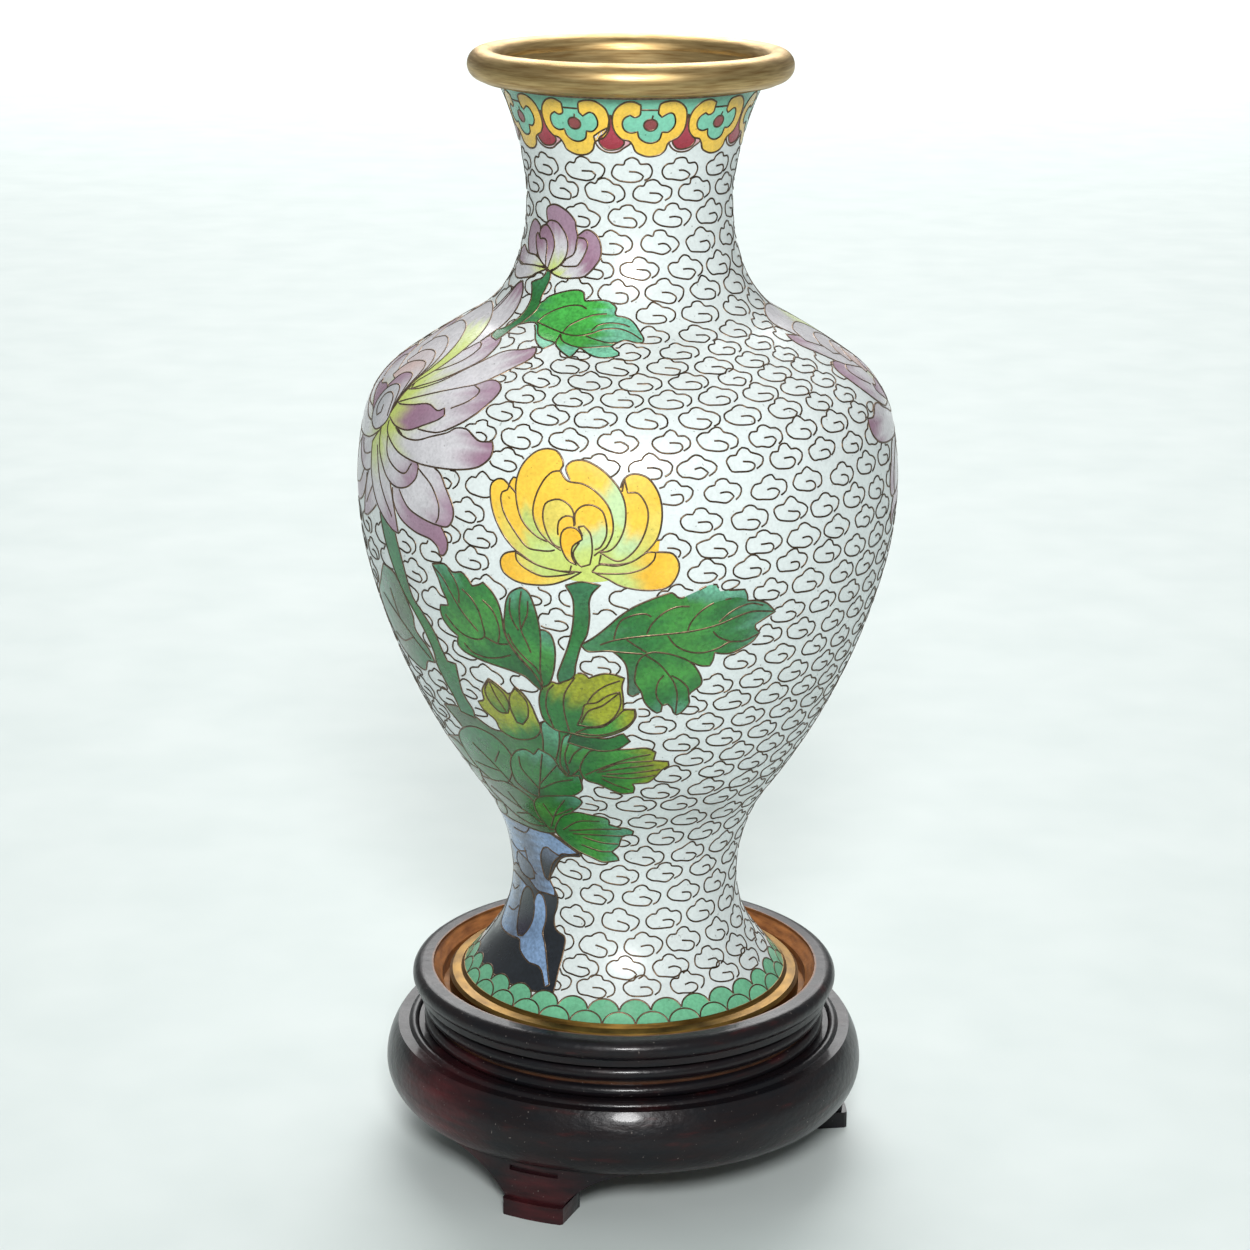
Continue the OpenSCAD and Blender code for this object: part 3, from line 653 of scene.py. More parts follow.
# Petals nested inside one another at the flower's heart, curling up and to the left
MAUVE_HEART = [
    Cell([(-45.8, 29), (-45, 34), (-43.2, 38), (-42.3, 42), (-42.3, 46), (-43.2, 50), (-46, 54.2),
         (-50, 57.6), (-55, 59.6), (-61, 60), (-66, 58), (-68, 54), (-64, 47), (-55, 40), (-49, 34)], [LIME,
         LIME, PALE_LIME, LILAC, LILAC], (-44, 34), (-63, 57)),
    Cell([(-45.8, 29), (-45.6, 35), (-45.2, 38), (-45.6, 42), (-48, 46.5), (-52.6, 50), (-58, 51),
         (-63, 50), (-65, 46), (-60, 42), (-53, 38), (-49, 33)], [LIME, LILAC, LILAC, PETAL_GREY],
         (-45, 33), (-60, 48)),
    Cell([(-45.8, 29), (-45.9, 35), (-46.2, 39), (-48.4, 42.8), (-52, 45), (-56.5, 45.4), (-60.5, 43.4),
         (-60.5, 40), (-55, 37.5), (-49, 34)], [LILAC, PETAL_ASH], (-46, 34), (-58, 44)),
    Cell([(-45.8, 29), (-46, 34), (-46.9, 38.2), (-49.8, 40.9), (-53.4, 41.2), (-57, 39.6), (-57.5, 36.4),
         (-52, 35), (-49, 33)], [LILAC, PETAL_BLUSH], (-46, 33), (-55, 40)),
    Cell([(-45.9, 28.4), (-46.2, 33), (-47.2, 36.6), (-49.3, 38.3), (-52.4, 38), (-55.6, 36.2), (-56, 32.8),
         (-51, 32)], [LILAC, PETAL_PINK], (-47, 31), (-54, 36)),
    Cell([(-46, 28), (-46.6, 32), (-48, 34.6), (-50, 35.1), (-52.6, 34), (-53.6, 31), (-50, 29)], [MAUVE,
         LILAC], (-52, 34), (-46.5, 29)),
    Cell([(-46, 26.6), (-46.9, 30), (-48.6, 31.9), (-51, 31.9), (-53.2, 30.3), (-54, 27.4), (-52.6, 24.9),
         (-50, 24), (-47.6, 24.8)], [PETAL_STEEL, LILAC], (-52, 28), (-46, 27), [[(-46.6, 26.8),
         (-47.9, 29.6), (-50, 30.4), (-52, 29.4), (-52.3, 27.2), (-50.9, 26), (-49.6, 26.8), (-50, 28)]]),
]
MAUVE_FLOWER = [c.moved(mirror=bloom_x) for c in MAUVE_HALF] + MAUVE_HALF + MAUVE_HEART

# Stem of the mauve flower, and the leaf beside it at the vase's left side
MAUVE_STEM = [
    Cell([(-50, 0), (-46, 4), (-42, 3), (-39.5, -3), (-40, -6), (-37.5, -9), (-37, -11.5), (-39.5, -12),
         (-42, -14.5), (-46, -14), (-51, -12), (-54, -7), (-54, -3)], [STEM, GREY_GREEN, TEAL], (-38, -11),
         (-53, -2), [[(-38, -11), (-44, -6), (-50, -2)], [(-42, -8), (-47, -10), (-51, -9.5)], [(-45, -5.5),
         (-45.5, 0)]]),
    Cell([(-46, 16), (-44, 9), (-42, 4), (-40.5, 0.5), (-38.5, -2.5), (-37, -5.5), (-36.2, -9),
         (-36.5, -11.5), (-35.8, -15), (-34.9, -18), (-34.7, -21.5), (-31, -22), (-30.6, -20),
         (-31.7, -16.5), (-31.4, -13), (-31, -10.2), (-33, -10.2), (-33.6, -8), (-34.5, -4.5),
         (-36.5, -1.5), (-38, 0.5), (-39, 6), (-40.5, 11), (-42, 16)], [STEM, LEAF, STEM], (-42, 10),
         (-33, -21)),
]

# On the back the same stem runs on down to the leaves
BACK_STEM = [
    Cell([(82.3, -19), (83, -24), (86, -29), (90, -33), (94, -36.5), (98, -40), (101, -37.5), (97, -33.5),
         (92.8, -29.8), (88.8, -26), (86.6, -22), (86.2, -19)], [STEM, LEAF], (84, -19), (98, -38)),
]

# ---------------------------------------------------------------- the bud on the neck and the shoulder leaf

bud_base = (-32, 77)
BUD = [
    Cell([(-41.5, 92.5), (-43.5, 94), (-46, 94.7), (-48.5, 93.5), (-50.5, 90), (-50.5, 86), (-48, 82.5),
         (-45, 80.5), (-41, 81.5), (-41, 88)], [LILAC, MAUVE], bud_base, (-47, 94)),
    Cell([(-33, 78.4), (-38, 80.2), (-42, 81.5), (-48, 81.5), (-54, 83.5), (-57.5, 81.5), (-56, 77.5),
         (-47, 76.8), (-40, 77.6)], [LIME, LILAC, MAUVE], bud_base, (-57, 80)),
    Cell([(-33, 77.6), (-40, 77.8), (-47, 77.2), (-52, 76.5), (-57, 77.5), (-59, 75), (-55, 72.3),
         (-50, 71.6), (-45, 72.6), (-41, 73.7), (-38.5, 75.2)], [LIME, LILAC, LILAC], bud_base, (-58, 75)),
    Cell([(-37.3, 97), (-37.5, 100), (-36, 101.3), (-33.5, 102.1), (-31, 102), (-28, 101), (-25.5, 99.7),
         (-23.5, 98), (-22.2, 96.5), (-21.8, 94), (-21, 91.5), (-21, 88), (-21.2, 85.5), (-22.5, 83.5),
         (-25, 82), (-27, 80), (-32, 77), (-33, 86)], [LILAC, MAUVE, MAUVE], (-28, 79), (-30, 101)),
    Cell([(-41.5, 91.5), (-40, 93), (-37.5, 94), (-35.5, 95.6), (-31.5, 95.5), (-28.5, 93.5), (-26, 90.5),
         (-25, 87.5), (-25, 84), (-26, 81.5), (-28, 79), (-30.5, 77.5), (-32, 77), (-36, 80)], [PALE_GREEN,
         LILAC, MAUVE], (-31, 77), (-33, 95)),
    Cell([(-40.5, 88), (-41.3, 90.5), (-39.8, 92.8), (-37, 93.6), (-34.5, 92), (-32.5, 89.5), (-31.5, 86.5),
         (-31.8, 83.5), (-32.5, 80.5), (-33, 77.6), (-37, 80)], [LILAC, MAUVE, ROSE], (-34, 78), (-38, 93)),
    Cell([(-40.5, 88), (-38, 88.3), (-36.3, 87.5), (-35.4, 85), (-35.2, 82), (-34.2, 78.2), (-36, 79),
         (-38.5, 80.5), (-41, 82.8), (-42.8, 85.5), (-43.8, 88.5), (-43, 90), (-41.5, 89)], [LILAC, ROSE],
         (-35, 79), (-41, 88)),
    Cell([(-20.8, 91), (-19.5, 92.3), (-18, 93.4), (-16.5, 93.7), (-14.5, 93), (-12.5, 91.3), (-11.2, 88.5),
         (-10.8, 85.5), (-11.2, 83), (-12.5, 80.8), (-14.5, 78.2), (-16.8, 76.3), (-20, 75.6),
         (-24.5, 75.1), (-28, 75.6), (-31, 76.6), (-29, 78), (-27, 79.5), (-22, 80)], [LIME, LILAC, ROSE,
         MAUVE], (-30, 76), (-13, 90)),
    Cell([(-20.8, 90.5), (-18, 90.3), (-16.6, 89), (-16.5, 87), (-17.5, 84), (-18.8, 81.5), (-20, 80),
         (-22, 79.6), (-25.5, 79.3), (-26.7, 79.7), (-25, 82), (-22.3, 83.8), (-21.2, 86), (-21, 89)],
         [LILAC, LILAC, ROSE], (-26, 80), (-18, 90)),
]
SHOULDER = [
    Cell([(-39.5, 71.8), (-37.5, 72.8), (-35, 73.8), (-33.7, 75.2), (-33.2, 77), (-31.2, 76.8),
         (-30.6, 74.5), (-31.2, 71), (-31.7, 68), (-31.3, 65.5), (-30, 64), (-31, 60), (-33.8, 57.2),
         (-35, 55), (-35.2, 53), (-35.8, 50), (-39, 51), (-40, 53.5), (-38.3, 54.5), (-37, 57), (-36, 60),
         (-35.7, 63), (-36, 66), (-37.5, 69)], [STEM, LEAF, STEM], (-33, 77), (-38, 52)),
    Cell([(-28.5, 57.8), (-27, 56), (-25, 53), (-22.8, 50.8), (-21, 49.8), (-20, 50.8), (-19, 52.4),
         (-20, 56), (-25, 59)], [AQUA], (-26, 57), (-21, 50)),
    Cell([(-33.8, 57.2), (-32.5, 60), (-31.3, 63), (-31, 65.5), (-30, 66.3), (-29, 67.8), (-27, 69),
         (-24, 70.2), (-20.5, 71.2), (-17.5, 71.5), (-15.7, 70.7), (-15.2, 69), (-14.7, 68), (-12.5, 68.2),
         (-9, 68.6), (-6.5, 68.2), (-5, 67.2), (-4, 66), (-4.3, 64.5), (-3.8, 63.4), (-1.5, 63),
         (0.3, 62.2), (1.8, 60.5), (3, 58), (3.9, 55.5), (3.5, 53.9), (2, 53.8), (-1, 54.8), (-3.3, 53.5),
         (-4.3, 52.3), (-3.5, 51.3), (-2.4, 50.3), (-2.3, 49.2), (-4, 48.4), (-7, 48.3), (-9.5, 49.5),
         (-11.5, 51.3), (-12.2, 50.8), (-12.8, 48.8), (-13.5, 47.8), (-15, 48.8), (-17, 50.3),
         (-18.7, 52.3), (-22.5, 53.3), (-25.5, 55), (-27.5, 58), (-30, 58.6)], [STEM, BRIGHT_GREEN,
         BRIGHT_GREEN, BRIGHT_GREEN, AQUA, AQUA], (-33, 60), (4, 60), [[(-28.3, 59), (-27, 61.5), (-24, 64),
         (-20, 65.8), (-16, 66.3), (-13.5, 65.3)], [(-28.3, 59), (-24.5, 58), (-21, 57), (-17.5, 56),
         (-14, 55.7), (-10.5, 56.8), (-7, 58.6), (-3, 58.9), (0.5, 57.5), (3.3, 55)], [(-18.5, 56.3),
         (-17.5, 59), (-14.5, 61.5), (-11, 63.3), (-6.8, 64)], [(-10.5, 57.8), (-9, 59.8), (-6, 60.8),
         (-2.5, 60.6), (0.3, 59.6)], [(-11.5, 55.8), (-9, 54.8), (-5, 53.6), (-2.5, 54)]]),
    Cell([(-18.9, 55.8), (-17.3, 53.4), (-14.6, 52), (-11.5, 51.4), (-6.2, 52.2), (-4.3, 52.3),
         (-3.5, 51.3), (-2.4, 50.3), (-2.3, 49.2), (-4, 48.4), (-7, 48.3), (-9.5, 49.5), (-11.5, 51),
         (-12.2, 50.8), (-12.8, 48.8), (-13.5, 47.8), (-15, 48.8), (-17, 50.3), (-18.7, 52.3)],
         [BRIGHT_GREEN, AQUA, AQUA], (-15, 54), (-13, 48)),
]

# ---------------------------------------------------------------- the rock at the foot

ROCK = [
    Cell([(-15.2, -66.3), (-15.3, -67.8), (-19, -68.3), (-22, -69.5), (-24.5, -72), (-27, -76), (-29, -80),
         (-27.5, -83), (-25.8, -86), (-26, -90), (-27, -94), (-25.5, -98), (-21.5, -100), (-21, -104),
         (-21, -110), (-20.3, -118), (-34, -119), (-50, -119), (-66, -119), (-68, -108), (-66, -96),
         (-66, -84), (-64, -72), (-60, -61), (-46, -58), (-34, -57), (-25, -59)], [ROCK_BLACK]),
    # the pale upper mass, with dark clefts
    Cell([(-15.6, -66.6), (-19, -67.6), (-22, -68), (-24, -70), (-27, -73.5), (-29.3, -79), (-27.2, -83.5),
         (-27, -86), (-31, -86), (-36, -86.2), (-40, -84), (-46, -82), (-52, -81), (-58, -84), (-62, -80),
         (-62, -70), (-58, -62), (-46, -59.5), (-40, -60), (-33, -58), (-25, -60)], [ROCK_BLUE, ROCK_BLUE,
         ROCK_GREY, ROCK_BLUE, ROCK_GREY], (-16, -66), (-60, -72), [[(-33, -60), (-37, -63.5), (-44, -64)],
         [(-40, -72), (-47, -74), (-54, -72.5)], [(-36, -80), (-40, -77), (-41, -71)]]),
    Cell([(-25.5, -68), (-27.5, -66.6), (-29.6, -67.5), (-31.8, -71), (-32.4, -75), (-31.4, -79.5),
         (-29.8, -80.5), (-28.8, -78), (-27.3, -74), (-25, -71), (-22.8, -69.2)], [ROCK_GREY, ROCK_BLACK],
         (-26, -66), (-30, -76)),
    Cell([(-38, -78), (-42, -75.5), (-48, -75), (-51, -79), (-47, -82.4), (-41, -83.2), (-37.4, -82)],
         [CLEFT_GREY, ROCK_GREY], (-38, -81), (-50, -78)),
    # the pale wall between the two hollows, and the ledge under them
    Cell([(-36.8, -88.4), (-35, -87), (-33, -87.6), (-31.4, -91), (-30.6, -96), (-31, -100.4),
         (-29, -103.5), (-26, -109), (-22.4, -115.6), (-23.4, -116.6), (-27.5, -111.6), (-33, -111),
         (-38.5, -108.6), (-41, -106), (-46, -106.5), (-54, -107), (-60, -106), (-64, -100), (-64, -90),
         (-58, -86), (-50, -85.5), (-44, -86.4), (-41, -88), (-38, -92)], [ROCK_BLUE, ROCK_BLUE, ROCK_GREY,
         ROCK_BLUE], (-32, -90), (-58, -100), [[(-48, -96), (-52, -99), (-58, -100)], [(-50, -89),
         (-55, -92), (-60, -92)]]),
    Cell([(-42.4, -86.8), (-39.4, -87.5), (-37.8, -91), (-37, -96), (-37.8, -100.4), (-40, -104.2),
         (-42.6, -105), (-45.2, -102.6), (-46.9, -98), (-47, -92.5), (-45.2, -88.8)], [HOLLOW_GREEN,
         HOLLOW_PLUM], (-43, -88), (-41, -104)),
]

# ---------------------------------------------------------------- the ruyi collar

HEADS = 10
head_pitch = AROUND / HEADS
HEAD_OUTER = [
    (3.2, 141.5), (0.5, 142.7), (-2.5, 142), (-5, 139.5), (-6, 136), (-5.3, 132), (-3, 129.3),
    (-0.5, 128.6), (0.8, 127), (2, 124.5), (5, 123), (7.5, 122.7), (10.5, 123.3), (12.5, 125),
    (13.3, 127.5), (14.5, 128.5), (17, 129.8), (18.7, 132.5), (19, 136), (18, 140), (15, 142.5),
    (12, 142.8), (9.5, 142), (9, 140.5),
]
HEAD_INNER = [
    (9, 139.7), (9, 138.5), (10.2, 137.2), (12.5, 138.6), (14, 138.2), (15, 136), (14.8, 133.7),
    (13, 131.8), (10.8, 131.8), (10, 129), (7.5, 127.8), (5, 128.2), (3, 129.8), (2.4, 132), (0, 131.6),
    (-2, 132.6), (-2.7, 134.8), (-2, 136.8), (-0.2, 138), (1.4, 137.2), (3, 138), (3.2, 139.8),
]
DROP = [
    (-6.5, 138), (-6, 136), (-5, 132.5), (-3.2, 129.8), (-2.1, 128.2), (-2.6, 126.8), (-4, 125.7),
    (-6.5, 125.1), (-8.7, 125.3), (-10.3, 126.6), (-11.1, 128.3), (-10.6, 129.8), (-9, 131), (-7.7, 133),
    (-7, 136),
]
DROP_HEM = [
    (-12.8, 130), (-12.4, 128), (-11.3, 126), (-9.3, 124.6), (-7, 124.1), (-4.3, 124.5), (-2.2, 126),
    (-0.2, 127.4), (0.5, 129), (-3, 131), (-6.5, 134), (-10, 132),
]


def collar_unit():
    """A ruyi head with the crimson drop at its left, from the pale hem behind to the red dot in front."""
    dot = [(6.7 + 2.3 * math.cos(a), 134.4 + 2.1 * math.sin(a)) for a in np.linspace(0, 2 * math.pi, 13)[:-1]]
    return [
        Cell(DROP_HEM, [CREAM, HEM_PINK], (-10, 125), (-2, 130)),
        Cell(DROP, [CRIMSON, DROP_PINK, DROP_BROWN], (-7, 125), (-6.5, 138)),
        Cell(HEAD_OUTER + HEAD_INNER, [YELLOW, GOLD, YELLOW], (6.6, 123), (6.6, 143)),
        Cell(HEAD_INNER, [TURQUOISE, TURQUOISE * 1.12], (6.6, 128), (6.6, 139)),
        Cell(dot, [DOT_RED], lines=[[(7, 136.4), (7.3, 137.9)]]),
    ]


# ---------------------------------------------------------------- the cloud ground

CLOUD = [
    (-0.56, -0.33), (0.47, -0.33), (1.3, -0.56), (1.72, -1.12), (1.3, -1.77), (0.28, -2.0), (-1.4, -1.81),
    (-2.5, -1.53), (-3.26, -0.7), (-3.26, 0.23), (-2.5, 0.93), (-1.5, 1.02), (-1.1, 1.58), (-0.19, 2.0),
    (0.74, 1.72), (1.3, 1.02), (2.5, 0.79), (3.3, -0.05), (2.98, -1.16), (1.95, -1.81),
]
# One cloud's centre in each row, from the collar down to the scales
CLOUD_ROWS = [
    (117.8, 1), (109.5, 9), (99.5, -1), (89.5, 12), (80, 21.5), (72, 12.5), (64, 23.5), (56.5, 19),
    (50.5, 12), (45.3, 18.5), (41, 21.5), (36.7, 16), (32.5, 19.5), (28.5, 14), (24.7, 17.6), (20.7, 14),
    (16.7, 17.8), (13, 13.3), (9.3, 18.3), (5.4, 21.9), (1.4, 18.6), (-2.6, 22.2), (-6.6, 18.8),
    (-10.7, 22.6), (-14.9, 19), (-19.2, 23), (-23.6, 19.4), (-28.2, 23.5), (-33, 20), (-38.2, 8),
    (-43.4, 2.5), (-50.8, 6), (-58.3, 12.5), (-66.3, 6.7), (-73.8, 14.3), (-82.5, 6), (-91.5, 14.5),
    (-100.3, 6.5), (-107.9, 15), (-113.6, -8),
]
cloud_pitch = 7.35
# A cloud is left out if less than this share of it would show
LEAST_SHOWN = 0.35


# Small loops that fill gaps between the clouds: centre, half length, tilt in degrees
LOOPS = [
    (13.2, -8.6, 1.5, 20), (16.8, -6.2, 1.4, 10), (22.7, -1.6, 1.5, 30), (15.3, 7.3, 1.4, 10),
    (28.5, 27.3, 1.6, 15), (26.2, 43.8, 1.6, 0), (2.3, 35.5, 1.7, 10), (12.2, 61.8, 1.9, 0),
    (-26.5, 12, 1.4, 60), (-33.4, 5.8, 1.5, 70), (-32.3, -7.5, 1.3, 20), (-29.5, -14.2, 1.5, 5),
    (-17, -12.5, 1.5, 5), (3.2, -58.3, 1.9, 0), (-17.5, -114.3, 2.2, 0), (21, -114, 2.2, 0),
    (44, 31.2, 1.5, 20), (48.5, 27, 1.5, 10), (47.8, 19.3, 1.5, 0), (8.5, 56, 2.0, 5), (2.5, 50, 1.9, 10),
    (-12, 4.6, 1.7, 0), (-2.3, 4.8, 1.7, 15), (-3.7, -6, 1.6, 0), (-14.5, -108, 2.2, 0),
]


# Least distance between a small loop and a cloud, in chart units
LOOP_GAP = 0.45


def filler_loops(pile, blockers, lines):
    """Almond loops between the clouds, with copies at the back. Each settles in the nearest free spot."""
    taken = np.concatenate(lines)
    steps = sorted(
        ((dx, dy) for dx in np.arange(-2, 2.1, 0.5) for dy in np.arange(-1.5, 1.6, 0.5)),
        key=lambda step: math.hypot(*step),
    )
    for around in (0, AROUND / 2):
        for cx, cy, half, tilt in LOOPS:
            lean = math.radians(tilt)
            loop = []
            for a in np.linspace(0, 2 * math.pi, 15)[:-1]:
                u, v = half * math.cos(a), half * 0.5 * math.sin(a) * (1 - 0.3 * math.cos(a))
                x = cx + around + u * math.cos(lean) - v * math.sin(lean)
                y = cy + u * math.sin(lean) + v * math.cos(lean)
                loop.append(((x + AROUND / 2) % AROUND - AROUND / 2, y))
            line = smooth(loop, True)
            near = taken[np.abs(taken - line.mean(axis=0)).max(axis=1) < 8]
            for step in steps:
                moved = line + step
                apart = moved[:, None] - near[None]
                gap = np.hypot(apart[..., 0], apart[..., 1]).min() if len(near) else 9
                if gap > LOOP_GAP and not any(inside(moved, block).any() for block in blockers):
                    wire(pile, moved, LOOP_WIRE_W, closed=True)
                    break


def clouds(piles, blockers):
    """Rows of clouds all round, cut where a coloured cell lies. Returns the line of each one drawn."""
    lines = []
    for row, (y, x0) in enumerate(CLOUD_ROWS):
        scale = CHART_R / float(radius_at(y))
        count = round(AROUND / (cloud_pitch * scale))
        pitch = AROUND / count
        for k in range(count):
            x = x0 + k * pitch
            x = (x + AROUND / 2) % AROUND - AROUND / 2
            grow = scale * rng.uniform(0.88, 0.97)
            tilt = math.radians(rng.uniform(-5, 5))
            turn = np.array([[math.cos(tilt), -math.sin(tilt)], [math.sin(tilt), math.cos(tilt)]])
            shape = np.array(CLOUD) * (grow * rng.uniform(0.95, 1.03), grow)
            wobble = [[rng.uniform(-0.12, 0.12), rng.uniform(-0.12, 0.12)] for _ in shape]
            shape = shape + np.array(wobble) * scale
            middle = (x + rng.uniform(-0.3, 0.3), y + rng.uniform(-0.25, 0.25))
            line = smooth(shape @ turn.T + middle, False, 75)
            free = np.ones(len(line), dtype=bool)
            for block in blockers:
                if abs((block[:, 0].mean() - x + AROUND / 2) % AROUND - AROUND / 2) < 40:
                    off = round((block[:, 0].mean() - x) / AROUND) * AROUND
                    free &= ~inside(line + (off, 0), block)
            if free.mean() < LEAST_SHOWN:
                continue
            lines.append(line)
            for run in runs(line, free, 8):
                wire(piles[row % len(piles)], run, CLOUD_WIRE_W)
    return lines


# ---------------------------------------------------------------- materials


def nodes_of(material):
    material.use_nodes = True
    tree = material.node_tree
    tree.nodes.clear()
    out = tree.nodes.new("ShaderNodeOutputMaterial")
    shader = tree.nodes.new("ShaderNodeBsdfPrincipled")
    tree.links.new(shader.outputs["BSDF"], out.inputs["Surface"])
    return tree, shader


def noise(tree, scale, detail=3.0, stretch=(1, 1, 1)):
    """Noise over the object's own coordinates; scale counts features to the metre."""
    place = tree.nodes.new("ShaderNodeTexCoord")
    fit = tree.nodes.new("ShaderNodeMapping")
    fit.inputs["Scale"].default_value = stretch
    made = tree.nodes.new("ShaderNodeTexNoise")
    made.inputs["Scale"].default_value = scale
    made.inputs["Detail"].default_value = detail
    tree.links.new(place.outputs["Object"], fit.inputs["Vector"])
    tree.links.new(fit.outputs["Vector"], made.inputs["Vector"])
    return made.outputs["Fac"]


def ramp(tree, value, stops):
    """Colours along a value from 0 to 1."""
    made = tree.nodes.new("ShaderNodeValToRGB")
    points = made.color_ramp.elements
    while len(points) < len(stops):
        points.new(0.5)
    for point, (at, colour) in zip(points, stops):
        point.position = at
        point.color = (*colour, 1)
    tree.links.new(value, made.inputs["Fac"])
    return made.outputs["Color"]


def span(tree, value, low, high, out_low, out_high):
    """Maps a value from one range to another."""
    made = tree.nodes.new("ShaderNodeMapRange")
    ends = {"From Min": low, "From Max": high, "To Min": out_low, "To Max": out_high}
    for name, number in ends.items():
        made.inputs[name].default_value = number
    tree.links.new(value, made.inputs["Value"])
    return made.outputs["Result"]


def blend(tree, mode, first, second, factor=1.0):
    """Mixes two colours."""
    made = tree.nodes.new("ShaderNodeMix")
    made.data_type = "RGBA"
    made.blend_type = mode
    if isinstance(factor, float):
        made.inputs["Factor"].default_value = factor
    else:
        tree.links.new(factor, made.inputs["Factor"])
    for socket, value in ((made.inputs[6], first), (made.inputs[7], second)):
        if hasattr(value, "links"):
            tree.links.new(value, socket)
        else:
            socket.default_value = (*value, 1)
    return made.outputs[2]


def relief(tree, shader, value, strength, distance=0.0002):
    made = tree.nodes.new("ShaderNodeBump")
    made.inputs["Strength"].default_value = strength
    made.inputs["Distance"].default_value = distance
    tree.links.new(value, made.inputs["Height"])
    tree.links.new(made.outputs["Normal"], shader.inputs["Normal"])


def enamel(name, base=None, mottle=0.10, rough=(0.20, 0.38)):
    """Polished glass enamel, a little cloudy and pitted. Its colour is base, or else the painted tint."""
    material = bpy.data.materials.new(name)
    tree, shader = nodes_of(material)
    if base is None:
        painted = tree.nodes.new("ShaderNodeAttribute")
        painted.attribute_name = "tint"
        colour = painted.outputs["Color"]
    else:
        colour = tuple(base)
    grains = ramp(
        tree, noise(tree, 1900, 3), [(0.3, (1 - mottle,) * 3), (0.62, (1 + mottle * 0.35,) * 3)]
    )
    clouds_in_glass = ramp(
        tree, noise(tree, 210, 4), [(0.3, (1 - mottle * 0.8,) * 3), (0.62, (1 + mottle * 0.2,) * 3)]
    )
    colour = blend(tree, "MULTIPLY", colour, grains)
    colour = blend(tree, "MULTIPLY", colour, clouds_in_glass)
    pits = ramp(tree, noise(tree, 1500, 2), [(0.70, (1, 1, 1)), (0.75, (0.42, 0.42, 0.40))])
    colour = blend(tree, "MULTIPLY", colour, pits, 0.75)
    tree.links.new(colour, shader.inputs["Base Color"])
    tree.links.new(span(tree, noise(tree, 260, 4), 0.3, 0.7, *rough), shader.inputs["Roughness"])
    shader.inputs["Coat Weight"].default_value = 0.3
    shader.inputs["Coat Roughness"].default_value = 0.2
    relief(tree, shader, noise(tree, 700, 5), 0.08)
    return material


def metal(name, dark, light, rough, stretch=(1, 1, 1), grain=900, bump=0.05):
    """Metal whose colour wanders between two tones."""
    material = bpy.data.materials.new(name)
    tree, shader = nodes_of(material)
    tone = ramp(tree, noise(tree, grain, 5, stretch), [(0.3, tuple(dark)), (0.7, tuple(light))])
    tree.links.new(tone, shader.inputs["Base Color"])
    shader.inputs["Metallic"].default_value = 1.0
    roughness = span(tree, noise(tree, grain * 0.4, 4, stretch), 0.3, 0.7, *rough)
    tree.links.new(roughness, shader.inputs["Roughness"])
    relief(tree, shader, noise(tree, grain * 2, 4, stretch), bump)
    return material


def nearness(tree, at, reach):
    """1 within a fifth of reach of a spot given in mm, fading to 0 at reach mm from it."""
    place = tree.nodes.new("ShaderNodeTexCoord")
    far = tree.nodes.new("ShaderNodeVectorMath")
    far.operation = "DISTANCE"
    tree.links.new(place.outputs["Object"], far.inputs[0])
    far.inputs[1].default_value = [a * MM for a in at]
    return span(tree, far.outputs["Value"], 0.2 * reach * MM, reach * MM, 1, 0)


def lacquered_wood(name, bare=False):
    """Black lacquer over turned wood, red where it has worn thin; inside the seat's lip the wood is bare."""
    material = bpy.data.materials.new(name)
    tree, shader = nodes_of(material)
    grain = noise(tree, 150, 6, (1, 1, 5))
    blacks = [(0.35, (0.006, 0.006, 0.008)), (0.62, (0.010, 0.006, 0.007)), (0.8, (0.040, 0.006, 0.007))]
    lacquer = ramp(tree, grain, blacks)
    worn = ramp(tree, grain, [(0.3, (0.024, 0.005, 0.006)), (0.7, (0.078, 0.011, 0.014))])
    for spot, reach in (((-30, -24, 13), 14), ((-14, -38, 3), 10), ((36, 12, 6), 9)):
        lacquer = blend(tree, "MIX", lacquer, worn, nearness(tree, spot, reach))
    specks = ramp(tree, noise(tree, 1900, 1), [(0.74, (0, 0, 0)), (0.79, (0.25, 0.22, 0.2))])
    lacquer = blend(tree, "ADD", lacquer, specks, 0.4)
    browns = [(0.3, tuple(srgb(112, 66, 34))), (0.7, tuple(srgb(172, 110, 60)))]
    wood = ramp(tree, noise(tree, 240, 6, (1, 1, 6)), browns)
    if bare:
        place = tree.nodes.new("ShaderNodeTexCoord")
        flat = tree.nodes.new("ShaderNodeMapping")
        flat.inputs["Scale"].default_value = (1, 1, 0)
        tree.links.new(place.outputs["Object"], flat.inputs["Vector"])
        reach = tree.nodes.new("ShaderNodeVectorMath")
        reach.operation = "LENGTH"
        tree.links.new(flat.outputs["Vector"], reach.inputs[0])
        is_bare = span(tree, reach.outputs["Value"], 0.0317, 0.0323, 1, 0)
        lacquer = blend(tree, "MIX", lacquer, wood, is_bare)
    tree.links.new(lacquer, shader.inputs["Base Color"])
    tree.links.new(span(tree, noise(tree, 120, 4), 0.3, 0.7, 0.28, 0.42), shader.inputs["Roughness"])
    shader.inputs["Specular IOR Level"].default_value = 0.22
    shader.inputs["Coat Weight"].default_value = 0.2
    shader.inputs["Coat Roughness"].default_value = 0.10
    relief(tree, shader, noise(tree, 700, 4, (1, 1, 1.6)), 0.5)
    return material


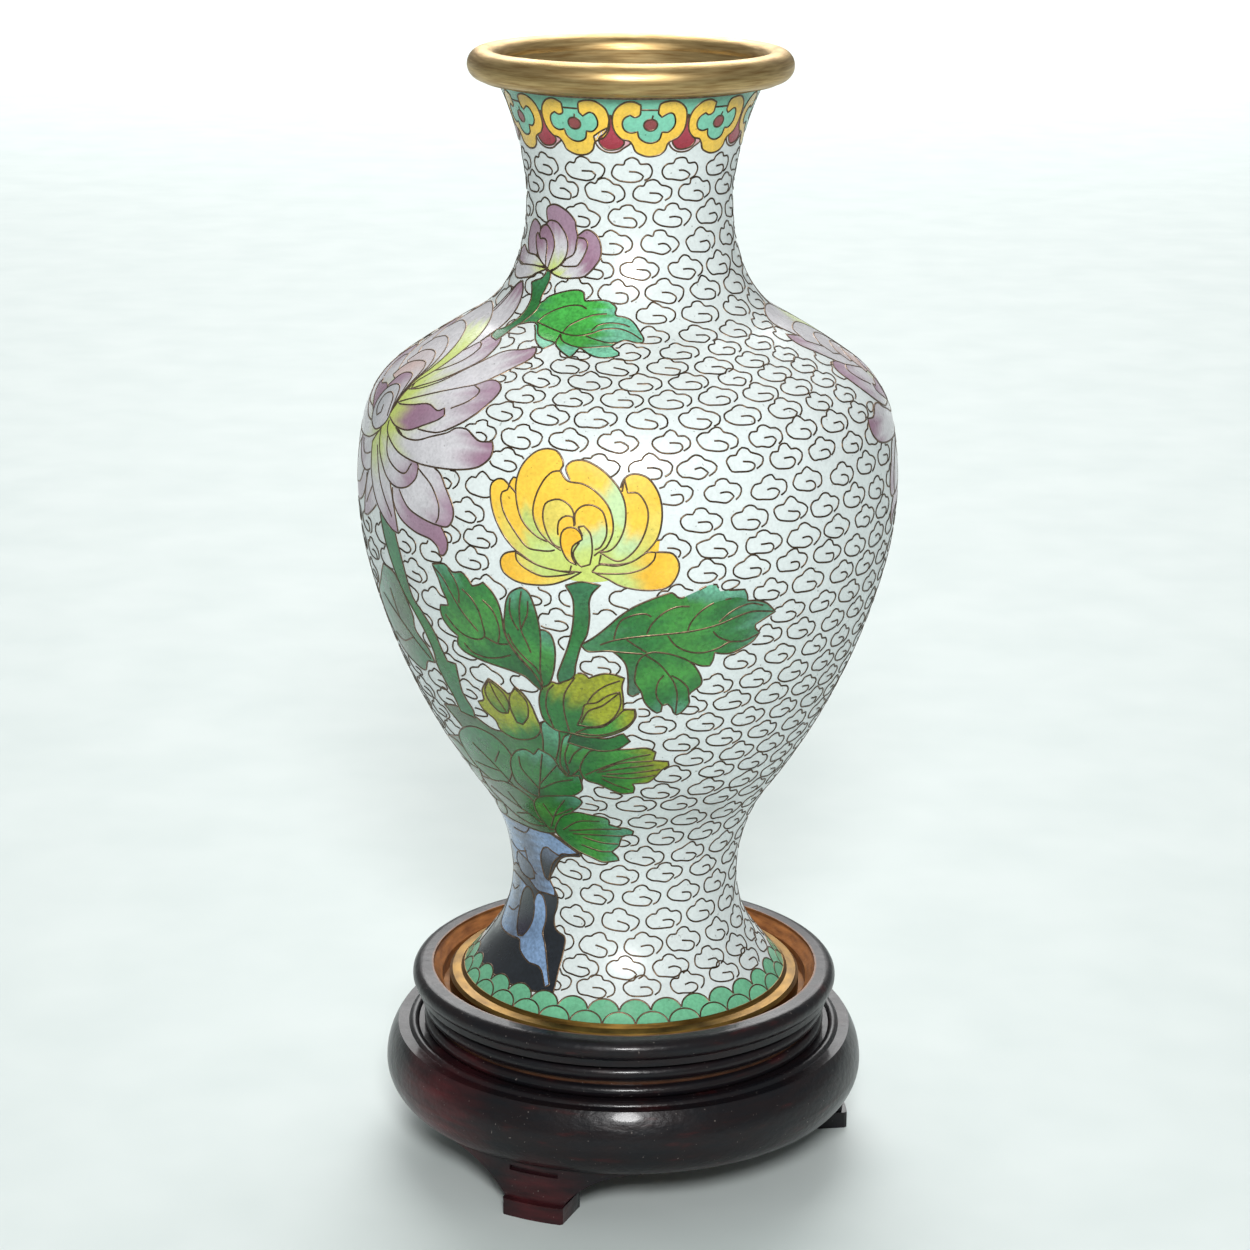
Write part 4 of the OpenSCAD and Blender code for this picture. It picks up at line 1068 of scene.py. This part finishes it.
def plain_wood(name):
    material = bpy.data.materials.new(name)
    tree, shader = nodes_of(material)
    browns = [(0.3, tuple(srgb(120, 78, 42))), (0.7, tuple(srgb(176, 124, 74)))]
    tone = ramp(tree, noise(tree, 260, 6, (1, 1, 0.2)), browns)
    tree.links.new(tone, shader.inputs["Base Color"])
    tree.links.new(span(tree, noise(tree, 500, 4), 0.3, 0.7, 0.55, 0.75), shader.inputs["Roughness"])
    relief(tree, shader, noise(tree, 900, 5, (1, 1, 0.2)), 0.2)
    return material


white_glass = enamel("white_glass", srgb(218, 226, 225), 0.07, (0.24, 0.40))
painted_glass = enamel("painted_glass", None, 0.13)
leaf_glass = enamel("leaf_glass", None, 0.34)
turquoise_glass = enamel("turquoise_glass", TURQUOISE, 0.14)
scale_glass = enamel("scale_glass", None, 0.14)
lining_glass = enamel("lining_glass", srgb(70, 150, 150), 0.2)
wire_metal = metal("wire_metal", srgb(84, 72, 62), srgb(138, 114, 92), (0.34, 0.55), grain=1500)
cloud_metal = metal("cloud_metal", srgb(62, 52, 44), srgb(116, 96, 76), (0.34, 0.55), grain=1500)
foot_gilt = metal("foot_gilt", srgb(94, 70, 34), srgb(150, 116, 58), (0.32, 0.48), (1, 1, 14), 220, 0.05)
satin_gilt = metal("satin_gilt", srgb(178, 162, 112), srgb(208, 192, 142), (0.52, 0.66),
    (1, 1, 14), 220, 0.05)
gilt = metal("gilt", srgb(164, 132, 84), srgb(212, 184, 130), (0.36, 0.5), (1, 1, 14), 220, 0.05)
copper = metal("copper", srgb(150, 84, 56), srgb(190, 112, 78), (0.35, 0.5))
lacquer = lacquered_wood("lacquer")
lacquer_and_bare = lacquered_wood("lacquer_and_bare", True)
bare_wood = plain_wood("bare_wood")

NODE_MATERIALS = {
    "rim_ring": gilt, "throat_sleeve": satin_gilt, "foot_ring": foot_gilt,
    "neck_core": copper, "shoulder_core": copper, "belly_core": copper, "foot_core": copper,
    "base_plate": copper,
    "base_enamel": lining_glass, "inner_enamel": lining_glass,
    "collar_wire": wire_metal, "foot_wire": foot_gilt,
    "seat_ring": lacquer_and_bare, "seat_floor": bare_wood, "base_ring": lacquer,
    "foot_front": lacquer, "foot_right": lacquer, "foot_left": lacquer, "foot_pins": bare_wood,
}
for node_name, material in NODE_MATERIALS.items():
    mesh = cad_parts[node_name].data
    mesh.materials.clear()
    mesh.materials.append(material)

# ---------------------------------------------------------------- building the vase's decoration

collar_foot = 170.0
rim_underside = 176.0

ground = Pile()
band(ground, 30.6, collar_foot + 1, GROUND_LIFT, 150)
ground_piece = ground.piece("white_ground", white_glass, "white_enamel")
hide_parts("ground_enamel")

collar = Pile()
band(collar, collar_foot, rim_underside, GROUND_LIFT + 0.02, 10)
collar_piece = collar.piece("turquoise_band", turquoise_glass, "turquoise_enamel")
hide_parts("collar_enamel")

# The scale band: two rows of overlapping scales, the lower row in front
SCALES = 31
scale_pitch = AROUND / SCALES
band_floor = chart_y(30.3) - 0.4


def scale_cells():
    """The scales all round, centred on the front of the chart."""
    made = []
    for top, first in ((-117.4, 3.0), (-120.9, 7.2)):
        for k in range(-15, SCALES - 15):
            cx = first + k * scale_pitch
            half = scale_pitch / 2 - 0.05
            angles = np.linspace(0, math.pi, 9)
            arch = [(cx + half * math.cos(a), top - 3.6 + 3.6 * math.sin(a)) for a in angles]
            shade = SCALE_GREEN * rng.uniform(0.88, 1.06)
            feet = [(cx - half, band_floor), (cx + half, band_floor)]
            made.append(Cell(arch + feet, [shade, shade * 1.15], (cx, band_floor), (cx, top)))
    return made


motif_wires = Pile()
scale_pile = Pile()
yellow_pile, leaf_pile, mauve_pile, rock_pile, collar_pile = Pile(), Pile(), Pile(), Pile(), Pile()
# How far round the back picture's parts are turned, in chart units
second = 140.0
second_bloom = 117.0
second_bud = 134.0
front = [
    (ROCK, rock_pile), (LOW_LEAVES, leaf_pile), (MAUVE_STEM, leaf_pile), (YELLOW_LEAVES, leaf_pile),
    (YELLOW_FLOWER, yellow_pile), (MAUVE_FLOWER, mauve_pile), (SHOULDER, leaf_pile), (BUD, mauve_pile),
]
back = [
    ([c.moved(second_bloom) for c in MAUVE_STEM] + BACK_STEM, leaf_pile),
    ([c.moved(second_bloom) for c in MAUVE_FLOWER], mauve_pile),
    ([c.moved(second) for c in LOW_LEAVES], leaf_pile),
    ([c.moved(second) for c in YELLOW_LEAVES], leaf_pile),
    ([c.moved(second) for c in YELLOW_FLOWER], yellow_pile),
    ([c.moved(second_bud) for c in SHOULDER], leaf_pile),
    ([c.moved(second_bud) for c in BUD], mauve_pile),
]
blockers = []
for jobs in (front, back):
    layers = [(cell, pile) for cells, pile in jobs for cell in cells]
    blockers.extend(cell.outline for cell, pile in layers)
    if jobs is front:
        layers += [(cell, scale_pile) for cell in scale_cells()]
    paint(layers, motif_wires)

collar_cells = [[c.moved(k * head_pitch) for c in collar_unit()] for k in range(HEADS)]
layers = [(unit[depth], collar_pile) for depth in range(5) for unit in collar_cells]
paint(layers, motif_wires, 1.0)
blockers.extend(cell.outline for cell, pile in layers[:2 * HEADS])
blockers.extend(smooth(np.array(HEAD_OUTER) + (k * head_pitch, 0), True) for k in range(HEADS))

scale_piece = scale_pile.piece("scales", scale_glass, "green_enamel")
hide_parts("scale_enamel")

cloud_piles = [Pile(), Pile(), Pile()]
cloud_lines = clouds(cloud_piles, blockers)
filler_loops(cloud_piles[0], blockers + cloud_lines, cloud_lines)

yellow_pile.piece("yellow_cells", painted_glass, "yellow_enamel")
leaf_pile.piece("leaf_cells", leaf_glass, "leaf_enamel")
mauve_pile.piece("mauve_cells", painted_glass, "mauve_enamel")
rock_pile.piece("rock_cells", leaf_glass, "rock_enamel")
collar_pile.piece("collar_cells", painted_glass, "yellow_enamel")
motif_wires.piece("motif_wires", wire_metal, "copper_wire")
for i, pile in enumerate(cloud_piles):
    pile.piece(f"cloud_wires_{i + 1}", cloud_metal, "copper_wire")

# ---------------------------------------------------------------- floor, light, camera

floor_mesh = bpy.data.meshes.new("floor")
floor_mesh.from_pydata([(-9, -4, 0), (9, -4, 0), (9, 14, 0), (-9, 14, 0)], [], [(0, 1, 2, 3)])
floor = bpy.data.objects.new("floor", floor_mesh)
bpy.context.scene.collection.objects.link(floor)
floor_material = bpy.data.materials.new("pale_floor")
tree, shader = nodes_of(floor_material)
pales = [(0.3, tuple(srgb(206, 215, 213))), (0.7, tuple(srgb(212, 220, 218)))]
tree.links.new(ramp(tree, noise(tree, 40, 2), pales), shader.inputs["Base Color"])
shader.inputs["Roughness"].default_value = 0.7
floor_mesh.materials.append(floor_material)


def area_light(name, at, aim, size, power, colour=(1, 1, 1), spread=180):
    data = bpy.data.lights.new(name, "AREA")
    data.shape = "DISK"
    data.size = size
    data.energy = power
    data.color = colour
    data.spread = math.radians(spread)
    thing = bpy.data.objects.new(name, data)
    thing.location = at
    thing.rotation_euler = (Vector(aim) - Vector(at)).to_track_quat("-Z", "Y").to_euler()
    bpy.context.scene.collection.objects.link(thing)
    return thing


area_light("flash", (0.02, -0.60, 0.42), (0, 0, 0.12), 0.15, 0.49, spread=60)
area_light("top", (0, 0.42, 0.8), (0, 0.3, 0), 0.6, 3.2)
area_light("far_floor", (0, 2.6, 1.6), (0, 2.6, 0), 2.5, 78)

world = bpy.data.worlds.new("studio")
world.use_nodes = True
world.node_tree.nodes["Background"].inputs["Color"].default_value = (0.93, 0.98, 0.97, 1)
world.node_tree.nodes["Background"].inputs["Strength"].default_value = 0.28
bpy.context.scene.world = world
bpy.context.scene.view_settings.view_transform = "Standard"

camera_data = bpy.data.cameras.new("camera")
camera_data.sensor_width = 36
camera_data.lens = 89.5
camera = bpy.data.objects.new("camera", camera_data)
pitch = math.radians(90 - 16.34)
roll = math.radians(0.43)
camera.matrix_world = (
    Matrix.Translation(Vector((-0.26, -484.1, 230.7)) * MM)
    @ Matrix.Rotation(pitch, 4, "X")
    @ Matrix.Rotation(roll, 4, "Z")
)
bpy.context.scene.collection.objects.link(camera)
bpy.context.scene.camera = camera
